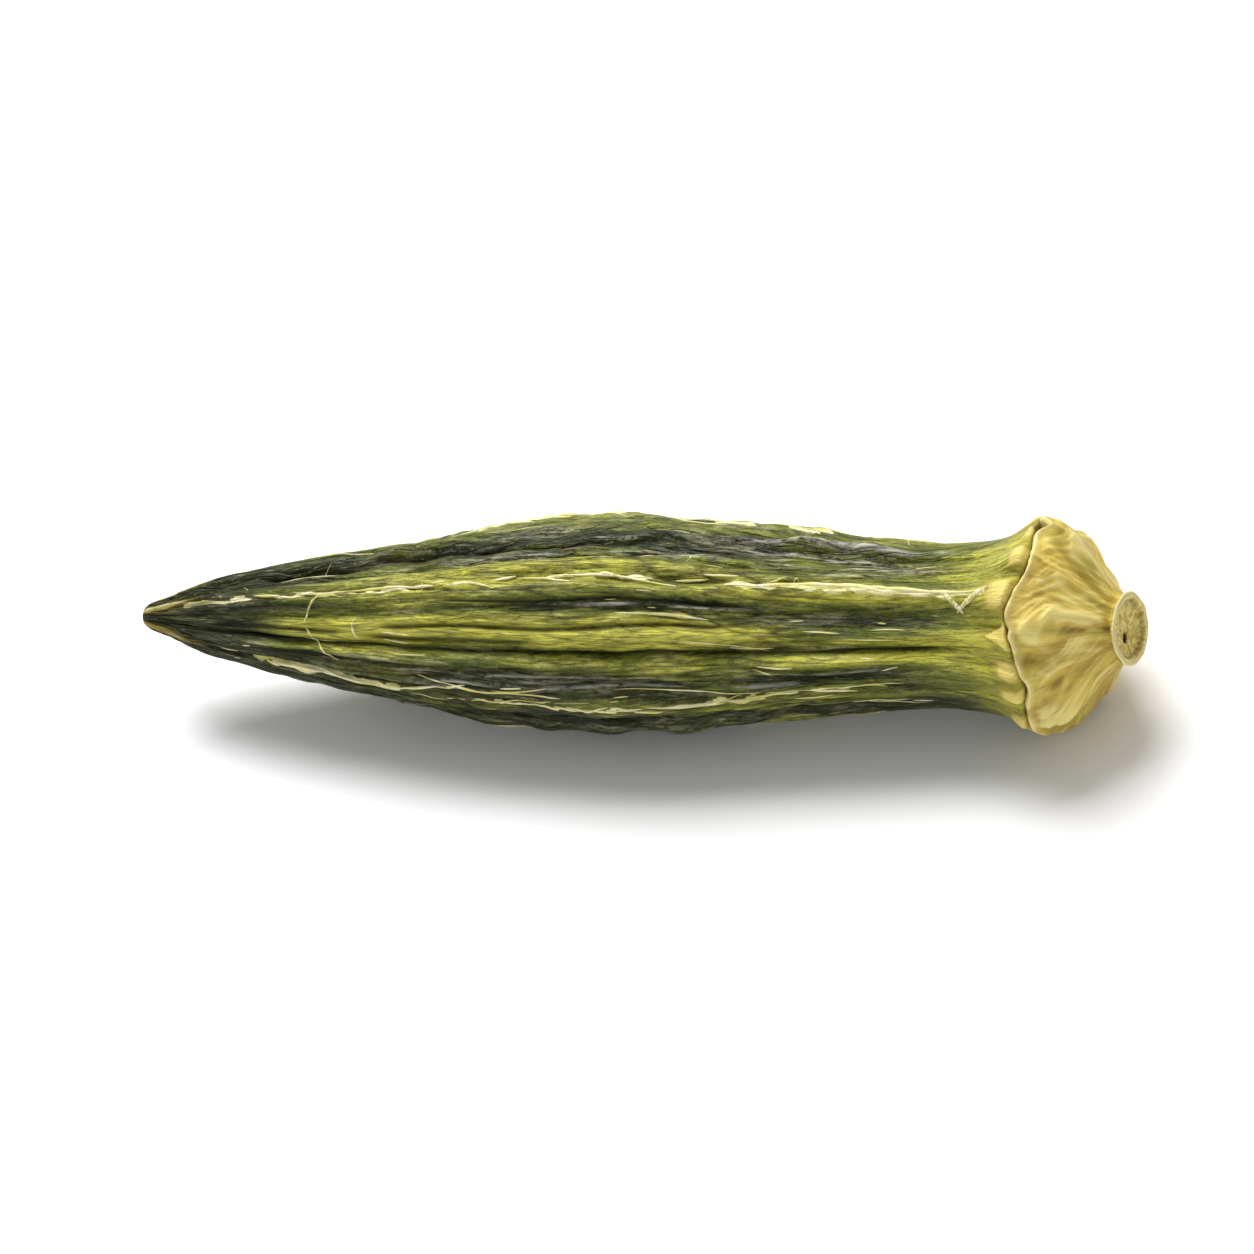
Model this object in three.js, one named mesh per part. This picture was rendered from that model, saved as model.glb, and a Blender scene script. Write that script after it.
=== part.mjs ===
// A dried okra pod, lying on its side: one shrivelled, five-ridged seed pod that tapers to a blunt
// tip, narrows to a neck, flares into a lobed shoulder, and ends in its woody cap and cut stalk.
// Millimetres, +Z up. +X runs from the tip to the stalk. The pod rests on z = 0, with its box
// centred over the origin.
import * as THREE from "three";

// Driving dimensions
const LENGTH = 77; // from the tip to the cut face of the stalk
const BELLY = 7.4; // mean radius at the widest place
const NECK = 5.75; // mean radius at the neck
const SHOULDER = 7.3; // mean radius under the edge of the cap
const CAP_START = 70.8; // where the crack between shoulder and cap lies, measured from the tip
const CAP_EDGE = 7.5; // mean radius of the raised edge of the cap
const STALK = 2.55; // radius of the stalk at its cut face
const CUT_LEAN = 6; // how far the cut face leans, in degrees
const CUT_FACING = 136; // angle round the pod that it leans to
const HOLE_OFF = new THREE.Vector3(0, -0.5, -0.6); // where the pith hole lies off the face's middle
const TIP_BOW = 1.3; // how far the tip bows sideways, away from the side that the cap turns to
const CAP_TURN = 0.1; // slope at which the cap turns sideways off the pod's line
const CAP_LIFT = 0.08; // slope at which the cap turns upwards off the pod's line
const TURN_START = 69.5; // where the cap's turn sets in, measured from the tip
const TURN_SOFTNESS = 1.2; // length over which it sets in
const REST_FLAT = 0.42; // depth that the lowest ridges are flattened by where the pod lies

// The grid of the surface
const COLUMNS = 86;

// What stands out round the pod, by its angle: 0 is +Y, 90 is up, 180 is -Y and 270 is down. width
// is the half-width in degrees, height a share of the outline's ridge, fold or corner value, and
// wander how far it strays, in degrees.
const RIDGES = [
  { angle: 109, height: 1.0, width: 20, wander: 2.5 },
  { angle: 181, height: 0.95, width: 18, wander: 3.5 },
  { angle: 253, height: 1.0, width: 20, wander: 0.8 },
  { angle: 325, height: 0.95, width: 20, wander: 2.4 },
  { angle: 37, height: 1.05, width: 18, wander: 3.0 },
];
const FOLDS = [
  { angle: 141, height: 1.1, width: 8, wander: 1.5 },
  { angle: 150, height: -1.2, width: 3.5, wander: 1.5 },
  { angle: 160, height: 0.9, width: 7, wander: 1.5 },
  { angle: 215, height: 0.9, width: 10, wander: 2.5 },
  { angle: 289, height: 1.95, width: 14, wander: 0.8 },
  { angle: 3, height: 1.0, width: 10, wander: 3.5 },
  { angle: 73, height: 0.9, width: 8, wander: 3.0 },
];
const CORNERS = [
  { angle: 132, height: 1.0, width: 16, wander: 0 },
  { angle: 60, height: 1.15, width: 15, wander: 0 },
  { angle: 204, height: 0.9, width: 18, wander: 0 },
  { angle: 276, height: 1.0, width: 20, wander: 0 },
  { angle: 348, height: 1.0, width: 16, wander: 0 },
  { angle: 97, height: 0.4, width: 7, wander: 0 },
  { angle: 163, height: 0.45, width: 6, wander: 0 },
  { angle: 241, height: 0.35, width: 8, wander: 0 },
  { angle: 310, height: 0.4, width: 7, wander: 0 },
  { angle: 22, height: 0.4, width: 8, wander: 0 },
];
const LOBES = 12; // bumps of the shoulder under the edge of the cap
const LOBE_HEIGHT = 0.6;
const LOBE_MEAN = 0.7; // mean of the lobes' curve round the pod, taken off so the shoulder keeps its size
const EDGE_WAVE = 0.5; // how far the edge of the cap waves along the pod
const CREASE_DEPTH = 0.3; // lengthwise creases of the dried skin
const CREASE_WAVES = 9; // waves that make them up
const CREASE_COARSEST = 8; // creases round the pod in the coarsest wave
const SEED_BUMP = 0.12; // seeds showing through the skin
const SEED_PITCH = 5.4; // from one seed to the next along the pod

// The outline from the tip to the pith hole in the stalk. at is measured along the pod and r is the
// mean radius there. ridge, fold and corner are the shares of r by which those stand out, lobe,
// edge, crease and cut (the lean of the cut face) say how much of each shows, and rows is the number
// of grid rows up to the next station. A value that is left out is 0.
const OUTLINE = [
  { at: 0, r: 0, rows: 1 },
  { at: 0.15, r: 0.55, ridge: 0.05, rows: 1 },
  { at: 0.8, r: 0.95, ridge: 0.08, fold: 0.03, crease: 0.1, rows: 1 },
  { at: 2.4, r: 1.45, ridge: 0.13, fold: 0.05, crease: 0.2, rows: 3 },
  { at: 7, r: 3.0, ridge: 0.19, fold: 0.07, crease: 0.5, rows: 4 },
  { at: 14, r: 4.45, ridge: 0.2, fold: 0.085, crease: 0.8, rows: 4 },
  { at: 21, r: 5.6, ridge: 0.2, fold: 0.085, crease: 1, rows: 4 },
  { at: 28.5, r: 6.7, ridge: 0.19, fold: 0.085, crease: 1, rows: 4 },
  { at: 35, r: BELLY - 0.1, ridge: 0.18, fold: 0.085, crease: 1, rows: 3 },
  { at: 40, r: BELLY, ridge: 0.17, fold: 0.085, crease: 1, rows: 3 },
  { at: 45.5, r: 7.05, ridge: 0.17, fold: 0.085, crease: 1, rows: 3 },
  { at: 52, r: 6.3, ridge: 0.17, fold: 0.085, crease: 0.9, rows: 3 },
  { at: 57.5, r: 5.9, ridge: 0.17, fold: 0.085, crease: 0.8, rows: 3 },
  { at: 62.5, r: NECK, ridge: 0.15, fold: 0.07, lobe: 0.1, crease: 0.6, rows: 3 },
  { at: 66.3, r: 6.15, ridge: 0.1, fold: 0.05, lobe: 0.5, crease: 0.4, rows: 2 },
  { at: CAP_START - 1.6, r: 6.85, ridge: 0.05, corner: 0.02, lobe: 1, edge: 0.4, crease: 0.2, rows: 2 },
  { at: CAP_START - 0.4, r: SHOULDER, ridge: 0.02, corner: 0.05, lobe: 0.9, edge: 0.8, rows: 1 },
  { at: CAP_START - 0.08, r: SHOULDER - 0.25, corner: 0.06, lobe: 0.6, edge: 1, rows: 1 },
  { at: CAP_START, r: SHOULDER - 0.6, corner: 0.06, lobe: 0.2, edge: 1, rows: 1 },
  { at: CAP_START + 0.1, r: SHOULDER - 0.25, corner: 0.08, edge: 1, rows: 1 },
  { at: CAP_START + 0.02, r: CAP_EDGE - 0.2, corner: 0.1, edge: 1, rows: 1 },
  { at: CAP_START + 0.35, r: CAP_EDGE, corner: 0.1, edge: 1, rows: 1 },
  { at: CAP_START + 0.9, r: CAP_EDGE - 0.25, corner: 0.12, edge: 0.8, rows: 1 },
  { at: CAP_START + 1.8, r: 6.75, corner: 0.16, edge: 0.4, rows: 2 },
  { at: CAP_START + 2.7, r: 5.85, corner: 0.19, edge: 0.1, rows: 2 },
  { at: CAP_START + 3.5, r: 4.75, corner: 0.2, rows: 2 },
  { at: CAP_START + 4.3, r: 3.6, corner: 0.16, rows: 2 },
  { at: CAP_START + 5.0, r: 2.8, corner: 0.08, cut: 0.1, rows: 2 },
  { at: LENGTH - 0.6, r: STALK - 0.15, corner: 0.03, cut: 0.7, rows: 1 },
  { at: LENGTH - 0.3, r: STALK - 0.05, corner: 0.02, cut: 0.9, rows: 1 },
  { at: LENGTH - 0.08, r: STALK + 0.1, corner: 0.02, cut: 1, rows: 1 },
  { at: LENGTH, r: STALK - 0.1, corner: 0.02, cut: 1, rows: 1 },
  { at: LENGTH - 0.05, r: STALK - 0.4, corner: 0.02, cut: 1, rows: 1 },
  { at: LENGTH - 0.35, r: STALK - 0.65, cut: 1, rows: 1 },
  { at: LENGTH - 0.45, r: STALK - 1.5, cut: 1, rows: 1 },
  { at: LENGTH - 0.5, r: 0.42, cut: 1, rows: 1 },
  { at: LENGTH - 1.0, r: 0.3, cut: 1, rows: 1 },
  { at: LENGTH - 1.1, r: 0, cut: 1, rows: 1 },
];
const OUTLINE_VALUES = ["at", "r", "ridge", "fold", "corner", "lobe", "edge", "crease", "cut"];

// Paints, from the photograph
const SKIN_GREEN = new THREE.Color("#5d6a2c");
const SKIN_DARK = new THREE.Color("#363d1c");
const RIDGE_PALE = new THREE.Color("#b9b47c");
const SHOULDER_YELLOW = new THREE.Color("#c9ae5c");
const CAP_CREAM = new THREE.Color("#d6bf72");
const YELLOW_START = 64; // where the green skin starts to turn yellow, measured from the tip

const GOLDEN = 0.618034;
const radians = THREE.MathUtils.degToRad;
const fraction = (value) => value - Math.floor(value);

// The outline with its rows filled in: a Catmull-Rom curve through the stations, in every value.
function outlineRows() {
  const value = (i, key) => OUTLINE[Math.min(Math.max(i, 0), OUTLINE.length - 1)][key] ?? 0;
  const between = (i, t, key) => {
    const [a, b, c, d] = [i - 1, i, i + 1, i + 2].map((n) => value(n, key));
    const slopeIn = (c - a) / 2;
    const slopeOut = (d - b) / 2;
    const cubic = 2 * (b - c) + slopeIn + slopeOut;
    const square = 3 * (c - b) - 2 * slopeIn - slopeOut;
    return ((cubic * t + square) * t + slopeIn) * t + b;
  };
  const rows = [];
  OUTLINE.forEach((station, i) => {
    for (let step = 0; step < station.rows; step++) {
      const t = step / station.rows;
      rows.push(Object.fromEntries(OUTLINE_VALUES.map((key) => [key, between(i, t, key)])));
    }
  });
  return rows;
}

// The pod's centre line: the tip bows to one side, the cap turns to the other and upwards.
function centreLine(at) {
  const middle = LENGTH / 2;
  const toTip = Math.max((middle - at) / middle, 0);
  const past = TURN_SOFTNESS * Math.log(1 + Math.exp((at - TURN_START) / TURN_SOFTNESS));
  return new THREE.Vector3(at, TIP_BOW * toTip ** 2 - CAP_TURN * past, CAP_LIFT * past);
}

// The two directions across the pod at a place on its centre line: level, and upright.
function crossDirections(at) {
  const step = 0.05;
  const along = centreLine(at + step).sub(centreLine(at - step)).normalize();
  const level = new THREE.Vector3(0, 0, 1).cross(along).normalize();
  return { level, upright: along.clone().cross(level) };
}

// How much the bumps of one kind stand out at an angle, less their mean round the pod. Each bump is
// a bell curve whose middle wanders a little along the pod.
function bumps(kind, at, angle) {
  return kind.reduce((total, { angle: middle, height, width, wander }, k) => {
    const drift = wander * Math.sin(at / 9 + 2 * Math.PI * fraction(k * GOLDEN));
    const off = ((((angle - middle - drift) % 360) + 540) % 360) - 180;
    const mean = (width * Math.sqrt(Math.PI)) / 360;
    return total + height * (Math.exp(-((off / width) ** 2)) - mean);
  }, 0);
}

// The rounded bumps of the shoulder, 0 in the grooves between them and 1 on top. Their widths vary.
function lobes(angle) {
  const a = radians(angle);
  const warped = a + 0.08 * Math.sin(2 * a + 1) + 0.05 * Math.sin(3 * a + 4);
  return Math.abs(Math.cos((LOBES * warped) / 2 + 0.5)) ** 0.7;
}

// Lengthwise creases of the dried skin, about -1 to 1: a sum of waves round the pod, each of which
// slowly shifts along it.
function creases(at, angle) {
  const a = radians(angle);
  let sum = 0;
  for (let k = 0; k < CREASE_WAVES; k++) {
    const phase = 2 * Math.PI * fraction((k + 1) * GOLDEN);
    const shift = 1.1 * Math.sin(at / (7 + 1.3 * k) + 3 * phase);
    sum += Math.sin((CREASE_COARSEST + 2 * k) * a + phase + shift);
  }
  return sum / 4;
}

// Seeds that show through between the ridges, in five rows along the pod.
function seeds(at, angle) {
  const between = 0.5 - 0.5 * Math.cos(radians(RIDGES.length * (angle - RIDGES[0].angle)));
  return between * Math.sin((2 * Math.PI * at) / SEED_PITCH + radians(2 * angle));
}

// One point of the surface, before the pod is set down. Near the end of the stalk a point moves
// along the pod with the leaning cut face, and the closer to the pith hole it lies, the further it
// shares the hole's place off the middle.
function surfacePoint(row, angle) {
  const { at, r, ridge, fold, corner, lobe, edge, crease, cut } = row;
  const share =
    ridge * bumps(RIDGES, at, angle) + fold * bumps(FOLDS, at, angle) + corner * bumps(CORNERS, at, angle);
  const relief = crease * (CREASE_DEPTH * creases(at, angle) + SEED_BUMP * seeds(at, angle));
  const radius = r * (1 + share) + LOBE_HEIGHT * lobe * (lobes(angle) - LOBE_MEAN) + relief;
  const wave = 0.4 * Math.sin(radians(2 * angle)) - 0.8 * Math.cos(radians(5 * (angle - CORNERS[0].angle)));
  const lean = Math.tan(radians(CUT_LEAN)) * radius * Math.cos(radians(angle - CUT_FACING));
  const place = at + EDGE_WAVE * edge * wave - cut * lean;
  const inward = cut * THREE.MathUtils.clamp(1 - r / (STALK - 0.5), 0, 1);
  const { level, upright } = crossDirections(place);
  return centreLine(place)
    .addScaledVector(level, radius * Math.cos(radians(angle)))
    .addScaledVector(upright, radius * Math.sin(radians(angle)))
    .addScaledVector(HOLE_OFF, inward);
}

// The paint at a point: dark in the grooves, pale on the ridges, yellow at the shoulder, cream on
// the cap.
function paint(row, angle) {
  if (row.at > CAP_START) return CAP_CREAM;
  const crest = THREE.MathUtils.clamp(bumps(RIDGES, row.at, angle), 0, 1);
  const skin = SKIN_DARK.clone().lerp(SKIN_GREEN, 0.5 + 0.5 * crest).lerp(RIDGE_PALE, 0.35 * crest);
  return skin.lerp(SHOULDER_YELLOW, THREE.MathUtils.smoothstep(row.at, YELLOW_START, CAP_START));
}

// The closed surface: one vertex at each pole, and rings of vertices between them.
function podGeometry() {
  const rows = outlineRows();
  const rings = rows.slice(1, -1);
  const places = [{ row: rows[0], angle: 0 }];
  for (const row of rings) {
    for (let i = 0; i < COLUMNS; i++) places.push({ row, angle: (360 * i) / COLUMNS });
  }
  places.push({ row: rows.at(-1), angle: 0 });

  const ringVertex = (ring, i) => 1 + ring * COLUMNS + (i % COLUMNS);
  const last = places.length - 1;
  const faces = [];
  for (let i = 0; i < COLUMNS; i++) {
    faces.push(0, ringVertex(0, i + 1), ringVertex(0, i));
    faces.push(last, ringVertex(rings.length - 1, i), ringVertex(rings.length - 1, i + 1));
    for (let ring = 0; ring < rings.length - 1; ring++) {
      const [a, b] = [ringVertex(ring, i), ringVertex(ring, i + 1)];
      const [c, d] = [ringVertex(ring + 1, i), ringVertex(ring + 1, i + 1)];
      faces.push(a, b, d, a, d, c);
    }
  }

  // The pod is set down: what lies deeper than the resting plane is flattened onto it.
  const points = places.map(({ row, angle }) => surfacePoint(row, angle));
  const box = new THREE.Box3().setFromPoints(points);
  const rest = box.min.z + REST_FLAT;
  const centre = box.getCenter(new THREE.Vector3());
  for (const point of points) {
    point.set(point.x - centre.x, point.y - centre.y, Math.max(point.z - rest, 0));
  }

  const colours = places.flatMap(({ row, angle }) => paint(row, angle).toArray());
  const geometry = new THREE.BufferGeometry().setFromPoints(points);
  geometry.setAttribute("color", new THREE.Float32BufferAttribute(colours, 3));
  geometry.setIndex(faces);
  geometry.computeVertexNormals();
  return geometry;
}

const pod = new THREE.Mesh(
  podGeometry(),
  new THREE.MeshStandardMaterial({ vertexColors: true, roughness: 0.6, metalness: 0 }),
);
pod.name = "okra_pod";

const group = new THREE.Group();
group.add(pod);

export default group;
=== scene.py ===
"""The looks of a dried okra pod: its ridged, shrivelled skin, its woody cap and the pale fibres on it.

Lengths are in millimetres while a shape is worked out, in the pod's own coordinates: at runs from the
tip to the stalk, and an angle of 0 is +Y, 90 up, 180 -Y and 270 down. A finished mesh is in metres, in
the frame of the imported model.
"""

import logging
import math
from dataclasses import astuple, dataclass, field, fields
from enum import Enum
from functools import reduce

import bpy
import numpy as np
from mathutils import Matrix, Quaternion, Vector


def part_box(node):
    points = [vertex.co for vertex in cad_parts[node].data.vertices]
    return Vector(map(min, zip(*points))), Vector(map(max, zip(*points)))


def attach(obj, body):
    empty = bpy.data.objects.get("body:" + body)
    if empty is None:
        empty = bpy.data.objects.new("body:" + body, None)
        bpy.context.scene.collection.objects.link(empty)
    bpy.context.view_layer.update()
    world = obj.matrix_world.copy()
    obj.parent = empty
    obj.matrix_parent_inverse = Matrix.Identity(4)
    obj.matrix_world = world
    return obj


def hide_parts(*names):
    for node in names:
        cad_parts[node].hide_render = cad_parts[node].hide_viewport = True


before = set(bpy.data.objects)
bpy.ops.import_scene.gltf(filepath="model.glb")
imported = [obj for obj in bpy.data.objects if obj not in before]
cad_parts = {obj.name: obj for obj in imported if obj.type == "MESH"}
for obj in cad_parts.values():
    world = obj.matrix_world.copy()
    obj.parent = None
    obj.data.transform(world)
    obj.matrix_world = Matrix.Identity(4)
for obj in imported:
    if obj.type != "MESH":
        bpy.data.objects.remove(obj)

log = logging.getLogger("okra_pod")

Array = np.ndarray
Span = tuple[float, float]
Colour = tuple[int, int, int]
Socket = bpy.types.NodeSocket

MILLIMETRE = 0.001
GOLDEN = 0.618034
NOISE_MIDDLE = 0.5
NODE = "okra_pod"
BODY = "root"


class Slot(Enum):
    """The record's material slots."""

    SKIN = "pod_skin"
    CAP = "pod_cap"


@dataclass(frozen=True)
class Bump:
    """Something that stands out along the pod, as a bell curve of the angle.

    angle and width (the half-width) are in degrees, height is a share, and wander is how far the
    middle strays along the pod, in degrees.
    """

    angle: float
    height: float
    width: float
    wander: float = 0.0


@dataclass(frozen=True)
class Station:
    """One place of the pod's outline.

    r is the mean radius; ridge, fold and corner are the shares of r by which those stand out; lobe,
    edge, crease and cut (the lean of the cut face) say how much of each shows; rows is the number of
    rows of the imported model's grid up to the next station.
    """

    at: float
    r: float
    ridge: float = 0.0
    fold: float = 0.0
    corner: float = 0.0
    lobe: float = 0.0
    edge: float = 0.0
    crease: float = 0.0
    cut: float = 0.0
    rows: int = 1


OUTLINE_VALUES = tuple(f.name for f in fields(Station) if f.name != "rows")


def smooth(low: float, high: float, value: Array) -> Array:
    """Goes from 0 at low to 1 at high, by 3 t squared less 2 t cubed."""
    t = np.clip((value - low) / (high - low), 0.0, 1.0)
    return t * t * (3.0 - 2.0 * t)


def within(first: float, full: float, fading: float, last: float, value: Array) -> Array:
    """1 from full to fading, and 0 before first and after last."""
    return smooth(first, full, value) * (1.0 - smooth(fading, last, value))


def bell(off: Array, width: float) -> Array:
    """A bell curve: e to the power of minus the square of off over width."""
    return np.exp(-((off / width) ** 2))


def turn_between(angle: Array, middle: Array) -> Array:
    """The turn from middle to angle, in degrees, brought between -180 and 180."""
    return (angle - middle + 180.0) % 360.0 - 180.0


def crested(value: Array, steepness: float) -> Array:
    """Sharp crests where a field crosses 0: one less its size times the steepness."""
    return 1.0 - steepness * np.abs(value)


def blank(at: Array, angle: Array) -> Array:
    """A 0 for each point of a grid."""
    return np.zeros(np.broadcast(at, angle).shape)


def angles_round(columns: int) -> Array:
    """A row of even angles round the pod, in degrees."""
    return 360.0 * np.arange(columns)[None, :] / columns


def entries(kind: type, *rows: tuple) -> tuple:
    """Entries of one kind, each from a row of its values in their order."""
    return tuple(kind(*row) for row in rows)


class Grain:
    """A smooth random field in space, by gradient noise: at each corner of a unit lattice stands a
    random direction, and a point takes the eased mean of its offsets from the eight corners round it,
    each along that corner's direction. It runs from about -0.7 to 0.7."""

    SIZE = 256

    def __init__(self, seed: int) -> None:
        """Draws the lattice.

        Args:
            seed: seeds the draw, so that each run gives the same field.
        """
        draw = np.random.default_rng(seed)
        self.order = np.tile(draw.permutation(self.SIZE), 3)
        directions = draw.normal(size=(self.SIZE, 3))
        self.directions = directions / np.linalg.norm(directions, axis=1, keepdims=True)

    def __call__(self, x: Array, y: Array, z: Array) -> Array:
        """The field at points.

        Args:
            x, y, z: coordinates in lattice units, as arrays of one shape.

        Returns:
            The values, in the same shape.
        """
        point = np.stack(np.broadcast_arrays(x, y, z), axis=-1)
        cell = np.floor(point).astype(int)
        part = point - cell
        ease = part**3 * (part * (part * 6.0 - 15.0) + 10.0)
        total = np.zeros(point.shape[:-1])
        for corner in range(8):
            step = np.array([corner & 1, corner >> 1 & 1, corner >> 2 & 1])
            i, j, k = np.moveaxis((cell + step) % self.SIZE, -1, 0)
            direction = self.directions[self.order[self.order[self.order[i] + j] + k]]
            share = np.prod(np.where(step == 1, ease, 1.0 - ease), axis=-1)
            total += share * np.sum(direction * (part - step), axis=-1)
        return total


def ring_field(seed: int, reach: float, turn: Array, along: Array) -> Array:
    """A random field of its own for each seed, taken at the point of a circle, reach being its radius
    in cells and turn the angle in radians, and at a place along the pod, in cells too."""
    return Grain(seed)(reach * np.cos(turn), reach * np.sin(turn), along)


def grain_of(reach: Array | float, turn: Array, at: Array) -> Array:
    """The coordinates that a finish reads: a straight bar's, with its radius, the angle in radians and
    the place along it."""
    return np.stack(np.broadcast_arrays(reach * np.cos(turn), reach * np.sin(turn), at), axis=-1)


@dataclass(frozen=True)
class PodShape:
    """The form of the pod, as the part's source has it, worked out as whole arrays."""

    length: float = 77.0
    belly: float = 7.4
    neck: float = 5.75
    shoulder: float = 7.3
    cap_start: float = 70.8
    cap_edge: float = 7.5
    stalk: float = 2.55
    cut_lean: float = 6.0
    cut_facing: float = 136.0
    hole_off: tuple[float, float, float] = (0.0, -0.5, -0.6)
    tip_bow: float = 1.3
    cap_turn: float = 0.1
    cap_lift: float = 0.08
    turn_start: float = 69.5
    turn_softness: float = 1.2
    rest_flat: float = 0.42
    columns: int = 86
    lobe_count: int = 12
    lobe_height: float = 0.6
    lobe_mean: float = 0.7
    edge_wave: float = 0.5
    crease_depth: float = 0.3
    crease_waves: int = 9
    crease_coarsest: int = 8
    seed_bump: float = 0.12
    seed_pitch: float = 5.4
    ridges: tuple[Bump, ...] = entries(
        Bump, (109, 1.0, 20, 2.5), (181, 0.95, 18, 3.5), (253, 1.0, 20, 0.8), (325, 0.95, 20, 2.4),
        (37, 1.05, 18, 3.0),
    )
    folds: tuple[Bump, ...] = entries(
        Bump, (141, 1.1, 8, 1.5), (150, -1.2, 3.5, 1.5), (160, 0.9, 7, 1.5), (215, 0.9, 10, 2.5),
        (289, 1.95, 14, 0.8), (3, 1.0, 10, 3.5), (73, 0.9, 8, 3.0),
    )
    corners: tuple[Bump, ...] = entries(
        Bump, (132, 1.0, 16), (60, 1.15, 15), (204, 0.9, 18), (276, 1.0, 20), (348, 1.0, 16),
        (97, 0.4, 7), (163, 0.45, 6), (241, 0.35, 8), (310, 0.4, 7), (22, 0.4, 8),
    )

    def body_outline(self) -> tuple[Station, ...]:
        """The stations from the tip to the foot of the shoulder, just before the crack."""
        start = self.cap_start
        return (
            Station(0, 0),
            Station(0.15, 0.55, ridge=0.05),
            Station(0.8, 0.95, ridge=0.08, fold=0.03, crease=0.1),
            Station(2.4, 1.45, ridge=0.13, fold=0.05, crease=0.2, rows=3),
            Station(7, 3.0, ridge=0.19, fold=0.07, crease=0.5, rows=4),
            Station(14, 4.45, ridge=0.2, fold=0.085, crease=0.8, rows=4),
            Station(21, 5.6, ridge=0.2, fold=0.085, crease=1, rows=4),
            Station(28.5, 6.7, ridge=0.19, fold=0.085, crease=1, rows=4),
            Station(35, self.belly - 0.1, ridge=0.18, fold=0.085, crease=1, rows=3),
            Station(40, self.belly, ridge=0.17, fold=0.085, crease=1, rows=3),
            Station(45.5, 7.05, ridge=0.17, fold=0.085, crease=1, rows=3),
            Station(52, 6.3, ridge=0.17, fold=0.085, crease=0.9, rows=3),
            Station(57.5, 5.9, ridge=0.17, fold=0.085, crease=0.8, rows=3),
            Station(62.5, self.neck, ridge=0.15, fold=0.07, lobe=0.1, crease=0.6, rows=3),
            Station(66.3, 6.15, ridge=0.1, fold=0.05, lobe=0.5, crease=0.4, rows=2),
            Station(start - 1.6, 6.85, ridge=0.05, corner=0.02, lobe=1, edge=0.4, crease=0.2, rows=2),
            Station(start - 0.4, self.shoulder, ridge=0.02, corner=0.05, lobe=0.9, edge=0.8),
            Station(start - 0.08, self.shoulder - 0.25, corner=0.06, lobe=0.6, edge=1),
        )

    def crack_outline(self) -> tuple[Station, ...]:
        """The stations of the crack between shoulder and cap."""
        return (
            Station(self.cap_start, self.shoulder - 0.6, corner=0.06, lobe=0.2, edge=1),
            Station(self.cap_start + 0.1, self.shoulder - 0.25, corner=0.08, edge=1),
        )

    def cap_outline(self) -> tuple[Station, ...]:
        """The stations from the raised edge of the cap to the pith hole in the stalk."""
        start, edge, end, stalk = self.cap_start, self.cap_edge, self.length, self.stalk
        return (
            Station(start + 0.02, edge - 0.2, corner=0.1, edge=1),
            Station(start + 0.35, edge, corner=0.1, edge=1),
            Station(start + 0.9, edge - 0.25, corner=0.12, edge=0.8),
            Station(start + 1.8, 6.75, corner=0.16, edge=0.4, rows=2),
            Station(start + 2.7, 5.85, corner=0.19, edge=0.1, rows=2),
            Station(start + 3.5, 4.75, corner=0.2, rows=2),
            Station(start + 4.3, 3.6, corner=0.16, rows=2),
            Station(start + 5.0, 2.8, corner=0.08, cut=0.1, rows=2),
            Station(end - 0.6, stalk - 0.15, corner=0.03, cut=0.7),
            Station(end - 0.3, stalk - 0.05, corner=0.02, cut=0.9),
            Station(end - 0.08, stalk + 0.1, corner=0.02, cut=1),
            Station(end, stalk - 0.1, corner=0.02, cut=1),
            Station(end - 0.05, stalk - 0.4, corner=0.02, cut=1),
            Station(end - 0.35, stalk - 0.65, cut=1),
            Station(end - 0.45, stalk - 1.5, cut=1),
            Station(end - 0.5, 0.42, cut=1),
            Station(end - 1.0, 0.3, cut=1),
            Station(end - 1.1, 0, cut=1),
        )

    def packed_outline(self) -> tuple[Station, ...]:
        """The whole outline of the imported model."""
        return self.body_outline() + self.crack_outline() + self.cap_outline()

    @staticmethod
    def outline_at(stations: tuple[Station, ...], place: Array) -> dict[str, Array]:
        """The outline between its stations, by a Catmull-Rom curve in every value.

        Args:
            stations: the stations.
            place: where, counted in stations from the first, with fractions between them.

        Returns:
            Each value of the outline by its name.
        """
        table = np.array([[getattr(s, name) for name in OUTLINE_VALUES] for s in stations], float)
        last = len(stations) - 1
        i = np.clip(np.floor(place).astype(int), 0, last - 1)
        t = (place - i)[..., None]
        a, b, c, d = (table[np.clip(i + n, 0, last)] for n in (-1, 0, 1, 2))
        slope_in, slope_out = (c - a) / 2.0, (d - b) / 2.0
        cubic = 2.0 * (b - c) + slope_in + slope_out
        square = 3.0 * (c - b) - 2.0 * slope_in - slope_out
        values = ((cubic * t + square) * t + slope_in) * t + b
        return {name: values[..., n] for n, name in enumerate(OUTLINE_VALUES)}

    def outline_rows(self, stations: tuple[Station, ...], place: Array) -> dict[str, Array]:
        """The outline at places, each value as a column that goes with a row of angles."""
        return {name: value[:, None] for name, value in self.outline_at(stations, place).items()}

    def centre_line(self, at: Array) -> Array:
        """The centre line, at distances from the tip: the tip bows to +Y by the square of its distance
        from the middle, and past turn_start the cap turns to -Y and upwards, on a softened ramp.

        Args:
            at: distances along the pod.

        Returns:
            The points, with a last axis of 3.
        """
        middle = self.length / 2.0
        to_tip = np.maximum((middle - at) / middle, 0.0)
        past = self.turn_softness * np.log1p(np.exp((at - self.turn_start) / self.turn_softness))
        y = self.tip_bow * to_tip**2 - self.cap_turn * past
        return np.stack([at, y, self.cap_lift * past], axis=-1)

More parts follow.
